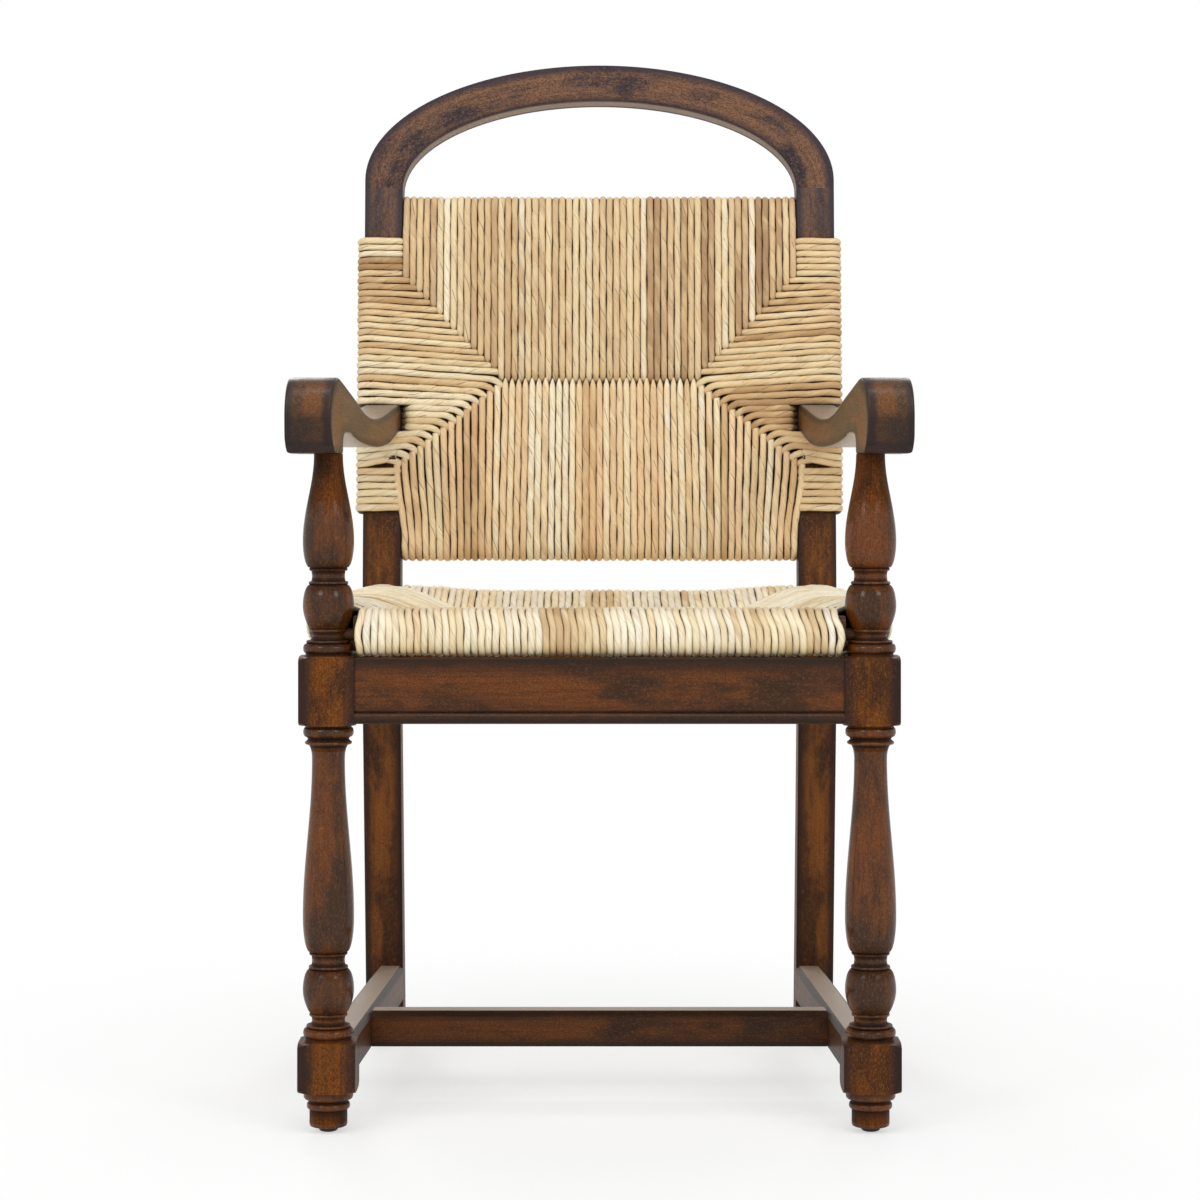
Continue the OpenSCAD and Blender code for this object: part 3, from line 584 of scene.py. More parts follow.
def mark_turned(piece):
    """Grain along the leg, and how deep each point lies below the outline close above and below it."""
    points = corners_of(piece)
    radius = np.hypot(points[:, 0], points[:, 1])
    line = np.array(leg_outline)
    near = np.abs(points[:, 2][:, None] - line[:, 1][None, :]) < 2.6
    proud = np.where(near, line[:, 0][None, :], 0).max(1)
    stain_and_shade = np.clip((proud - radius - 0.3) / 3.0, 0, 1)
    for neck in (FOOT_TOP + 19.5, FOOT_TOP + 75.5, BLOCK_TOP + 19.5, BLOCK_TOP + 75.5):
        stain_and_shade *= 1 - 0.6 * np.exp(-(((points[:, 2] - neck) / 3.5) ** 2))
    # Painted shade: darker towards the top, under the arm, where the arm's shadow falls, with some darker
    # stain there too
    stain_and_shade = np.maximum(stain_and_shade, np.clip((points[:, 2] - 580) / 70, 0, 1) * 0.42)
    mark_wood(piece, points * MM, np.stack([stain_and_shade * 0, stain_and_shade * 0, stain_and_shade], 1))


def mark_block(piece, half):
    points = corners_of(piece)
    # The side towards the other leg is rubbed paler than the outer side
    across = points[:, 0] / half * np.where(points[:, 0] < 0, 0.76, 1)
    mark_wood(piece, points * MM + 0.31, np.stack([across, points[:, 1] / half, across * 0], 1))


mark_turned(front_leg)
mark_block(upper_block, BLOCK_HALF)
mark_block(lower_block, FOOT_HALF)
for piece in (front_leg, upper_block, lower_block):
    piece.data.transform(Matrix.Translation((LEG_X * MM, LEG_Y * MM, 0)))
for side in ("left", "right"):
    for part, finish in ((front_leg, wood_leg), (upper_block, wood_block), (lower_block, wood_block)):
        piece = part
        if side == "right":
            piece = mirrored(part)
            # Another stretch of the same wood, so that the two legs differ
            for value in piece.data.attributes["grain"].data:
                value.vector = Vector(value.vector) + Vector((0.17, 0.4, 0.9))
        settle(piece, finish, "leg", "front_leg_" + side)

# %% [markdown]
# A back post is sawn from a board: seen from the side it is raked below the seat and leans back above
# it. A straight bar could be bent twice, but a drawn outline puts each bend just where the joints need
# it. So the side view is a polygon, extruded by the post's width, and its long edges are rounded with
# the bevel operator.

# %% Back posts


def post_middle(z):
    """The middle of the post, front to back, at a height, and the cosine of its lean there."""
    if z > BEND_Z:
        return BACK_Y + (z - BEND_Z) * math.tan(RECLINE), math.cos(RECLINE)
    if z > RAKE_Z:
        return BACK_Y, 1.0
    return BACK_Y + RAKE * (RAKE_Z - z) / (RAKE_Z - GLIDE_H), math.cos(math.atan(RAKE / (RAKE_Z - GLIDE_H)))


def side_points(w):
    """One long side of the post in the side view, from the crest's joint down to the glide."""
    top = lean(0, w, CREST_V)
    points = [(top[1], top[2])]
    for z in (700, 600, 560, 530):
        points.append((post_middle(z)[0] + w / math.cos(RECLINE), z))
    for z, y in ((515, 0.9), (508, 0.35), (500, 0.1), (490, 0.0), (450, 0.0), (392, 0.0)):
        points.append((BACK_Y + w + y, z))
    for z in (384, 378, 370):
        points.append((BACK_Y + w + RAKE * (392 - z) ** 2 / 44 / (RAKE_Z - GLIDE_H), z))
    points.append((BACK_Y + w + RAKE, GLIDE_H))
    return points


back_post = extrude_section(
    "back_post_left_wood", side_points(-POST_HALF) + side_points(POST_HALF)[::-1], POST_HALF * 2
)
# The section's first number is the depth and its second the height, so the bar is turned to stand up
back_post.data.transform(Matrix(((0, 0, 1, POST_IN * MM), (1, 0, 0, 0), (0, 1, 0, 0), (0, 0, 0, 1))))
close_up(back_post)
CREST_JOINT = 0.93
count = round_edges(
    back_post, POST_ROUND,
    lambda a, b, turn: turn > 1.2 and abs(a.x - b.x) < 0.001 and not min(a.z, b.z) > CREST_JOINT,
)
close_up(back_post, 40)
points = corners_of(back_post)
middles = np.array([post_middle(z) for z in points[:, 2]])
through = (points[:, 1] - middles[:, 0]) * middles[:, 1]
# Painted shade: a little darker below the seat, where the seat's shadow falls
shade = np.clip((BLOCK_LOW - points[:, 2]) / 14, 0, 1) * 0.3
across = (points[:, 0] - POST_X) / POST_HALF
mark_wood(back_post, np.stack([points[:, 0], through, points[:, 2]], 1) * MM,
          np.stack([across, through / POST_HALF, shade], 1))
settle_pair(back_post, wood_post, "post")
print("rounded edges of a post:", count)

# %% [markdown]
# The crest bends and the arms change their section all along their length, which no single extrusion
# gives. Both are lofted: a ring of points with round corners is worked out at each station, and
# neighbouring rings are joined.

# %% Loft helper


def rounded_ring(depth, half, r_low, r_high):
    """Points round a section from 0 to depth that reaches half to each side; the low and high corners have
    their own radii."""
    ring = []

    def arc(x, y, r, begin):
        for i in range(4):
            a = math.radians(begin + 30 * i)
            ring.append((x + r * math.cos(a), y + r * math.sin(a)))

    heights = [r_low + (depth - r_low - r_high) * i / 6 for i in range(1, 6)]
    arc(half - r_low, r_low, r_low, -90)
    ring += [(half, y) for y in heights]
    arc(half - r_high, depth - r_high, r_high, 0)
    ring += [(half - r_high - (2 * half - 2 * r_high) * i / 4, depth) for i in range(1, 4)]
    arc(-half + r_high, depth - r_high, r_high, 90)
    ring += [(-half, y) for y in heights[::-1]]
    arc(-half + r_low, r_low, r_low, 180)
    ring += [(-half + r_low + (2 * half - 2 * r_low) * i / 4, 0) for i in range(1, 4)]
    return ring


def loft(name, rings):
    """Joins rings of equal length into one closed piece. Each of their points comes with its grain and
    section."""
    data = np.array(rings, float)
    count, around = data.shape[:2]
    faces = [tuple(range(around))[::-1], tuple(range((count - 1) * around, count * around))]
    for i in range(count - 1):
        for j in range(around):
            k = (j + 1) % around
            faces.append((i * around + j, i * around + k, (i + 1) * around + k, (i + 1) * around + j))
    points, grain, section = data.reshape(-1, 3, 3).transpose(1, 0, 2)
    piece = new_piece(name, points, [], faces)
    mark_wood(piece, grain, section)
    close_up(piece, 38, merge=False)
    return piece


print("loft helper is ready")

# %% [markdown]
# The crest is a flat arch that stands on the two posts, with half an ellipse as its outer line and
# another as its inner one. It could be cut from a board with a boolean, as it was sawn once. Rings along
# the arch keep its long edges round and let the grain follow the curve.

# %% The arched crest
CREST_STEPS = 110
rings, travelled, before = [], 0.0, None
for i in range(-1, CREST_STEPS + 2):
    if i in (-1, CREST_STEPS + 1):
        end = 1 if i < 0 else -1
        outer, inner = (end * POST_OUT, CREST_V), (end * POST_IN, CREST_V)
    else:
        wide, tight = math.pi * i / CREST_STEPS, math.radians(2.6 + 174.8 * i / CREST_STEPS)
        outer = (POST_OUT * math.cos(wide), CREST_SPRING + (CREST_TOP - CREST_SPRING) * math.sin(wide))
        inner = (POST_IN * math.cos(tight), CREST_V + CREST_INNER * math.sin(tight))
    middle = ((outer[0] + inner[0]) / 2, (outer[1] + inner[1]) / 2)
    if before:
        travelled += math.dist(middle, before)
    before = middle
    depth = math.dist(outer, inner)
    ring = []
    for w, d in rounded_ring(depth, POST_HALF, POST_ROUND, POST_ROUND):
        share = d / depth
        x = inner[0] + (outer[0] - inner[0]) * share
        v = inner[1] + (outer[1] - inner[1]) * share
        # Painted light: the underside, which faces the white floor, is paler between its rounded edges
        painted_floor_light = 0.55 if share < 0.02 and abs(w) < POST_HALF - 3 else 0
        ring.append((
            lean(x, w, v),
            ((d + 7) * MM, w * MM, travelled * MM + 2),
            (w / POST_HALF, max(2 * share - 1, 0.72 - 1.44 * share), -painted_floor_light),
        ))
    rings.append(ring)
crest = loft("crest_arch_wood", rings)
settle(crest, wood_crest, "crest", "crest_arch")
print("length along the crest's middle:", round(travelled), "mm")

# %% [markdown]
# Each arm is a scroll: thick at the nose over the front leg, thin at its waist and rising again into the
# post. A block could be pushed into that shape, but a pair of lines is easier to correct. The upper and
# the lower line of the side view are given as matching points, from the post to the nose's tip, and a
# rounded section stands between each pair. The outer side swells a little, as if shaped by hand.

# %% Lines of the arm


def smooth_line(points, steps):
    """A smooth line through a few points."""
    p = np.array(points, float)
    line = []
    for i in range(len(p) - 1):
        a, b, c, d = p[max(i - 1, 0)], p[i], p[i + 1], p[min(i + 2, len(p) - 1)]
        for j in range(steps):
            t = j / steps
            bend, twist = 2 * a - 5 * b + 4 * c - d, 3 * b - a - 3 * c + d
            line.append(0.5 * (2 * b + (c - a) * t + bend * t**2 + twist * t**3))
    return line + [p[-1]]


arm_upper = smooth_line(
    [(421.3, 56), (378, 50.5), (335, 44.5), (292, 39.8), (250, 37.5), (209, 38), (168, 41.5), (142, 45.5),
     (116, 51), (82, 57.2), (48, 62.8), (22, 67.4), (2, 70.4), (-12, 71.9), (-22, 71.4), (-31, 67.5),
     (-38, 61), (-42.6, 52), (-44.8, 42), (-44.9, 30), (-44, 18), (-42, 9)], 4)
arm_lower = smooth_line(
    [(421.3, 28), (378, 19.5), (342, 13.5), (300, 10), (265, 8.6), (225, 8.5), (190, 9.4), (158, 10.8),
     (128, 12.6), (104, 15), (84, 17.6), (64, 19.6), (48, 20.2), (34, 19.6), (25, 17.6), (19.5, 14),
     (16.6, 8), (16, 0.6), (8, 0), (-8, 0), (-24, 0), (-36, 0.6)], 4)
print("arm lines:", len(arm_upper), len(arm_lower), "stations")

# %% The arms
ARM_HALF = 22
rings, travelled, before = [], 0.0, None
for up, down in zip(arm_upper, arm_lower):
    middle = (up + down) / 2
    if before is not None:
        travelled += float(np.linalg.norm(middle - before))
    before = middle
    thick = float(np.linalg.norm(up - down))
    nose = min(max((40 - middle[0]) / 60, 0), 1)
    r_up, r_down = min(3.0, thick / 3), min(2.4, thick / 3)
    ring = []
    for flat_x, d in rounded_ring(thick, ARM_HALF, r_down, r_up):
        level, off = d / thick, flat_x / ARM_HALF
        y, z = down + (up - down) * level
        share = min(max((y + 45) / 466.3, 0), 1)
        inner, outer = 249 + (216 - 249) * share, 295.5 + (256 - 295.5) * share
        x = (inner + outer) / 2 + off * (outer - inner) / 2
        if off > 0:
            x -= (1.0 * (2 * level - 1) ** 2 * (1 - nose) + 1.4 * min(max((14 - z) / 14, 0), 1) * nose) * off
        else:
            x -= (2.5 - 3.8 * ((z - 34) / 38) ** 2) * min(max((15 - y) / 40, 0), 1) * off
        # The nose is darker along its top, and darker low down and at its lowest edge, a painted shade where
        # it turns from the light. Along its waist the arm is paler on top, a painted sheen on slightly worn
        # wood, and underneath, a painted light where it faces the floor
        shade = nose * (0.2 + 0.34 * ease((42 - z) / 12) + 0.5 * ease((z - 63) / 6)) * (off > -0.97)
        shade += nose * 0.35 * ease((12 - z) / 4)
        sheen_and_wear = ease((y - 60) / 40) * (abs(off) < 0.9)
        pale = sheen_and_wear * (0.45 if level > 0.98 else 0.0) + ease((y - 12) / 8) * 0.8 * (level < 0.02)
        ring.append((
            (x, LEG_Y + y, ARM_Z + z),
            (x * MM + 1, z * MM, y * MM * 0.8 + travelled * MM * 0.2 + 3),
            (off, 2 * level - 1, shade - pale),
        ))
    rings.append(ring)
# One more ring, a little inside the last, keeps the front end evenly dark: a painted shade on the end, which
# faces down towards the floor
last = np.array(rings[-1])
centre = last[:, 0].mean(axis=0)
last[:, 0] = centre + (last[:, 0] - centre) * 0.97
last[:, 2, 2] = 0.7
arm = loft("arm_left_wood", rings + [last])
# The rear end follows the leaning front face of the post
end = lean(0, -POST_HALF, 175)
cut(arm, (0, end[1], end[2]), (0, math.cos(RECLINE), -math.sin(RECLINE)))
settle_pair(arm, wood_arm, "arm")
print("length along the arm's middle:", round(travelled), "mm")

# %% [markdown]
# The aprons under the seat are flat boards. The front and side ones carry a round bead along their
# bottom edge with a fine groove above it. A rod laid along a plain board would have no groove, so the
# section is drawn with the bead and extruded along the board.

# %% Sections and marks of the boards
BOARD, BEAD = 18, 5.6
APRON_MID = (APRON_LOW + APRON_TOP) / 2
BOARD_HALF = (BOARD / 2, (APRON_TOP - APRON_LOW) / 2)


def beaded_section(thick, low, high, bead):
    """Section of an apron: how far in from its outer face, and how high."""
    face = [(0, high - 0.8), (0.8, high), (thick - 0.8, high), (thick, high - 0.8)]
    face += [(thick, low + 0.8), (thick - 0.8, low)]
    rim = []
    for i in range(11):
        a = math.radians(-90 - 18 * i)
        rim.append((bead / 2 + bead * math.cos(a), low + bead + bead * math.sin(a)))
    quirk = [(1.6, low + 2 * bead + 0.2), (1.6, low + 2 * bead + 1.0), (0, low + 2 * bead + 1.6)]
    return face + rim + quirk


# Matrices that lay a section's bar along X with its first number towards +Y, and along Y towards -X
LAID = (
    Matrix(((0, 0, 1, 0), (1, 0, 0, 0), (0, 1, 0, 0), (0, 0, 0, 1))),
    Matrix(((-1, 0, 0, 0), (0, 0, 1, 0), (0, 1, 0, 0), (0, 0, 0, 1))),
)


def bar(name, section, length, along, place, middle, half, smooth, pale=0.0):
    """A bar along X (0) or Y (1). Its section attribute gives the two other directions as shares of the half
    sizes, from the middle, and pale is how much paler its top is painted, a painted sheen."""
    piece = extrude_section(name, section, length)
    piece.data.transform(Matrix.Translation([c * MM for c in place]) @ LAID[along])
    close_up(piece, smooth)
    points = corners_of(piece)
    first, second = (points[:, axis] - at for axis, at in zip((1 - along, 2), middle))
    # Painted sheen: the top face is painted paler where it catches the light
    top = np.where(second > half[1] - 0.1, -pale, 0)
    mark_wood(piece, np.stack([first, second, points[:, along]], 1) * MM + 0.7 * along,
              np.stack([first / half[0], second / half[1], top], 1))
    return piece


def to_side(piece, front_x, back_x, smooth, rear_end, rear_slope, front_y):
    """Turns a bar from the front leg's axis to its place at the side, and trims both ends."""
    turn = Matrix.Rotation(math.atan((front_x - back_x) / SPACING), 4, "Z")
    piece.data.transform(Matrix.Translation((front_x * MM, LEG_Y * MM, 0)) @ turn)
    cut(piece, (0, front_y, 0), (0, -1, 0))
    cut(piece, rear_end, rear_slope)
    close_up(piece, smooth)


print("bead radius", BEAD, "mm")

# %% Aprons
HALF_FRONT = LEG_X - BLOCK_HALF
FRONT_FACE = LEG_Y - BLOCK_HALF + INSET
beaded = beaded_section(BOARD, APRON_LOW, APRON_TOP, BEAD)
front_apron = bar("front_apron_wood", beaded, 2 * HALF_FRONT, 0, (-HALF_FRONT, FRONT_FACE, 0),
                  (FRONT_FACE + BOARD / 2, APRON_MID), BOARD_HALF, 30)
settle(front_apron, wood_apron, "apron", "front_apron")

plain = [(-9, APRON_LOW + 0.8), (-8.2, APRON_LOW), (8.2, APRON_LOW), (9, APRON_LOW + 0.8)]
plain += [(9, APRON_TOP - 0.8), (8.2, APRON_TOP), (-8.2, APRON_TOP), (-9, APRON_TOP - 0.8)]
rear_apron = bar("rear_apron_wood", plain, 2 * POST_IN, 0, (-POST_IN, BACK_Y, 0),
                 (BACK_Y, APRON_MID), BOARD_HALF, 30)
settle(rear_apron, wood_apron, "apron", "rear_apron")

side_apron = bar("side_apron_left_wood", beaded, SPACING, 1, (0, 0, 0),
                 (-BOARD / 2, APRON_MID), BOARD_HALF, 30)
to_side(side_apron, LEG_X + BLOCK_HALF - INSET, POST_OUT - INSET, 30,
        (0, BACK_Y - POST_HALF, 0), (0, 1, 0), LEG_Y + BLOCK_HALF)
settle_pair(side_apron, wood_apron, "apron")

# %% [markdown]
# The three stretchers near the floor form an H. Each is a nearly square bar whose two top edges are
# planed off. The bevel operator could do that, but in a drawn section each flat gets its exact width.
# The bisect operator trims the ends: the side ones stop on the raked front faces of the back posts.

# %% Stretchers
STRETCH_HALF = (15.5, (STRETCH_TOP - STRETCH_LOW) / 2)
MID_Z = (STRETCH_LOW + STRETCH_TOP) / 2
FRONT_X, REAR_X, CROSS_IN = LEG_X - 6, POST_X - 5.5, 178
CROSS_Y = LEG_Y + CROSS_IN


def stretcher_section(half, low, high, bevel):
    """Section with small round bottom corners and wide bevels along the top."""
    right = [(half, low + 1), (half, high - bevel - 0.5), (half - 0.5, high - bevel + 0.2)]
    right += [(half - bevel + 0.4, high - 0.4), (half - bevel - 0.4, high)]
    return [(-half, low + 1), (-half + 1, low), (half - 1, low)] + right + [(-x, z) for x, z in right[:0:-1]]


stretcher_points = stretcher_section(STRETCH_HALF[0], STRETCH_LOW, STRETCH_TOP, 5)
side_stretcher = bar("side_stretcher_left_wood", stretcher_points, SPACING + RAKE, 1, (0, 0, 0),
                     (0, MID_Z), STRETCH_HALF, 20, 0.6)
slope = Vector((0, RAKE_Z - GLIDE_H, RAKE)).normalized()
to_side(side_stretcher, FRONT_X, REAR_X, 20, (0, BACK_Y - POST_HALF, RAKE_Z), slope, LEG_Y + FOOT_HALF)
settle_pair(side_stretcher, wood_stretcher, "stretcher")

splay = math.atan((FRONT_X - REAR_X) / SPACING)
cross_half = FRONT_X - CROSS_IN * math.tan(splay) - STRETCH_HALF[0] / math.cos(splay)
cross = bar("cross_stretcher_wood", stretcher_points, 2 * cross_half + 20, 0,
            (-(cross_half + 10), CROSS_Y, 0), (CROSS_Y, MID_Z), STRETCH_HALF, 20, 0.6)
for sign in (1, -1):
    cut(cross, (sign * cross_half, CROSS_Y, 0), (sign * math.cos(splay), math.sin(splay), 0))
close_up(cross, 20)
settle(cross, wood_stretcher, "stretcher", "cross_stretcher")

# %% [markdown]
# Under each foot is a small domed glide of metal. A flattened sphere would come near it, but has no rim.
# So its outline is spun round once, and the piece is copied to the four feet.

# %% Glides
glide_finish = material("glide_metal")
scratch = glide_finish.noise(glide_finish.place(), (900, 900, 900), 3.0)
glide_finish.surface({
    "Base Color": glide_finish.colour(scratch.rise(0.35, 0.7), tone(40, 36, 34), tone(72, 66, 60)),
    "Roughness": scratch * 0.3 + 0.3,
    "Metallic": 0.8,
})
glide_finish.bump(scratch, 0.0001, 0.5)
dome_outline = [(0, 0), (6, 0.1), (7.6, 0.6), (8.7, 1.5), (9.3, 2.8), (9.5, 4.2)]
dome_outline += [(9.2, GLIDE_H), (0, GLIDE_H)]
dome = spun("glide", dome_outline, 40)
for name, x, y in (
    ("front_left", LEG_X, LEG_Y), ("front_right", -LEG_X, LEG_Y),
    ("rear_left", POST_X, BACK_Y + RAKE), ("rear_right", -POST_X, BACK_Y + RAKE),
):
    glide = copied(dome, "glide_" + name + "_metal")
    glide.data.transform(Matrix.Translation((x * MM, y * MM, 0)))
    settle(glide, glide_finish.owner, "glide", "glide_" + name)
bpy.data.objects.remove(dome)

# %% [markdown]
# The rails inside the rush and the dowels of the crest are hidden. Their CAD shapes are right, so they
# stay and only take the plain hidden wood.

# %% Finish of the hidden nodes
for name, node in frame["nodes"].items():
    if name.startswith("seat_rail") or name in ("back_top_rail", "back_bottom_rail", "crest_dowels"):
        node.data.materials.clear()
        node.data.materials.append(wood_hidden)
print("hidden pieces of wood:", sum(o.active_material == wood_hidden for o in frame["nodes"].values()))

# %% [markdown]
# Rush is twisted into a cord as it is woven, and each cord has its own shade, from cream to brown. A
# flat panel with bumps would be lighter, but its outline and the dark gaps between the cords would be
# missing. So every turn is modelled: a run on the front, round a rail or a post, and back on the other
# side. A cord is a tube with one deep and one faint groove that wind along it. Three attributes steer
# the finish: the cord's shade, how deep a point lies between its neighbours, and the direction of the
# fibres. The depth paints shade into the colour: painted shade in the grooves, painted shading down the
# sides of each cord and a dark painted line where two cords meet.

# %% The rush finish


def rush_finish(name, gain, gap_shade_range):
    """gain is the pale tone of its blotches; the last is where the painted shade between two cords begins and
    ends.
    """
    made = material(name)
    shade = made.attribute("shade")
    painted_crease_shade, painted_gap_shade, plain = made.split(made.attribute("painted_shade_relief").outputs["Vector"])
    fibre = made.attribute("fibre").outputs["Vector"]
    streak = made.noise(fibre, (900, 900, 20), 4.0, 0.65)
    fine = made.noise(fibre, (1500, 1500, 60), 2.0, 0.6)
    blotch = made.noise(fibre, (45, 45, 16), 3.0, 0.6)
    broken = made.noise(fibre, (60, 60, 60), 2.0, 0.5)
    colour = made.colour(streak.rise(0.4, 0.72) * 0.42, shade.outputs["Color"], tone(182, 144, 99))
    colour = made.colour((1 - fine.rise(0.3, 0.55)) * 0.3, colour, tone(158, 116, 72))
    colour = made.colour(blotch.rise(0.46, 0.66) * 0.45, colour, tone(*gain))
    # Painted shade: dark in the creases, a brown shading down the sides of each cord, and a dark line between
    # cords
    colour = made.colour(painted_crease_shade.rise(0.55, 0.98) * broken.rise(0.49, 0.56) * 0.9, colour, tone(80, 52, 30))
    colour = made.colour(painted_gap_shade.rise(0.1, 0.55) * (0.45 - plain * 0.35), colour, tone(166, 124, 80))
    colour = made.colour(painted_gap_shade.rise(*gap_shade_range) * (0.95 - plain * 0.2), colour, tone(42, 27, 16))
    made.surface({"Base Color": colour, "Roughness": streak * 0.25 + 0.5, "Specular IOR Level": 0.2})
    made.bump(streak * 0.7 + fine * 0.5 + blotch * 0.6, 0.0004, 0.8)
    made.owner.diffuse_color = tone(226, 200, 150)
    return made.owner


rush_back_finish = rush_finish("rush_back", (232, 206, 160), (0.38, 0.62))
rush_seat_finish = rush_finish("rush_seat", (246, 234, 200), (0.46, 0.74))
print("rush finishes are ready")

# %% [markdown]
# The shades were chosen: most cords are cream or straw, some tan and a few brown. Rush is woven bundle
# by bundle, so the shade wanders from cord to cord and jumps now and then. A seeded generator steers it,
# so the chair is the same each time it is made.

# %% Shades and cross-section of a cord
TAN_SHADES = [
    (248, 238, 212), (238, 222, 184), (228, 203, 159), (214, 185, 142), (202, 171, 133), (184, 152, 116),
    (160, 130, 97),
]
CREAM_SHADES = [
    (252, 244, 222), (250, 236, 200), (244, 222, 178), (242, 212, 172), (230, 196, 150), (210, 176, 132),
    (186, 150, 110),
]
LEVEL_SHADES = [
    (244, 232, 198), (236, 216, 172), (230, 202, 154), (222, 192, 148), (210, 176, 130), (192, 156, 112),
    (172, 138, 98),
]
SEAT_SHADES = [
    (252, 246, 228), (250, 240, 212), (244, 230, 192), (238, 220, 180), (230, 206, 164), (216, 190, 148),
    (198, 168, 126),
]
picker = random.Random(11)
# A cord is a little thicker than its share of the width, so that neighbours press together
PRESS = 1.09
# Points round a cord: their angles, their radii, which lie in the creases and take their painted shade, and
# which have its second shade
AROUND = 12
ANGLES = np.radians([0, 15, 48, 86, 120, 152, 180, 208, 240, 274, 312, 345])
RADII = np.array([0.90, 0.985, 1.01, 1.02, 1.01, 0.99, 0.96, 0.99, 1.01, 1.02, 1.01, 0.985])
CREASE_SHADE = np.array([1.0, 0.1, 0, 0, 0, 0, 0.8, 0, 0, 0, 0, 0.1])
LEAVES = np.array([0.5, 0, 0, 0, 0, 0, 0.5, 1, 1, 1, 1, 1])


def resample(points, step):
    """Even points along a line, after its corners are rounded."""
    p = np.array(points, float)
    lengths = np.concatenate([[0], np.cumsum(np.linalg.norm(np.diff(p, axis=0), axis=1))])
    dense = np.linspace(0, lengths[-1], max(int(lengths[-1]), 8) + 1)
    q = np.stack([np.interp(dense, lengths, p[:, i]) for i in range(3)], 1)
    kernel = np.hanning(9)[1:-1]
    kernel /= kernel.sum()
    padded = np.concatenate([np.repeat(q[:1], 3, 0), q, np.repeat(q[-1:], 3, 0)])
    q = np.stack([np.convolve(padded[:, i], kernel, "valid") for i in range(3)], 1)
    count = max(int(lengths[-1] / step), 4) + 1
    places = np.linspace(0, len(q) - 1, count)
    return np.stack([np.interp(places, np.arange(len(q)), q[:, i]) for i in range(3)], 1)


print("a cord has", AROUND, "points round it")

# %% [markdown]
# One cord is a ring of points that travels along a line and turns as it goes, so its grooves wind round
# it. A curve with a bevel would give a plain round tube. Here each point also takes its own colour, its
# depth in the weave and its place along the fibres. The cords of one field become one mesh, so that the
# field is a single piece to handle.

# %% Make a cord and gather cords into a piece


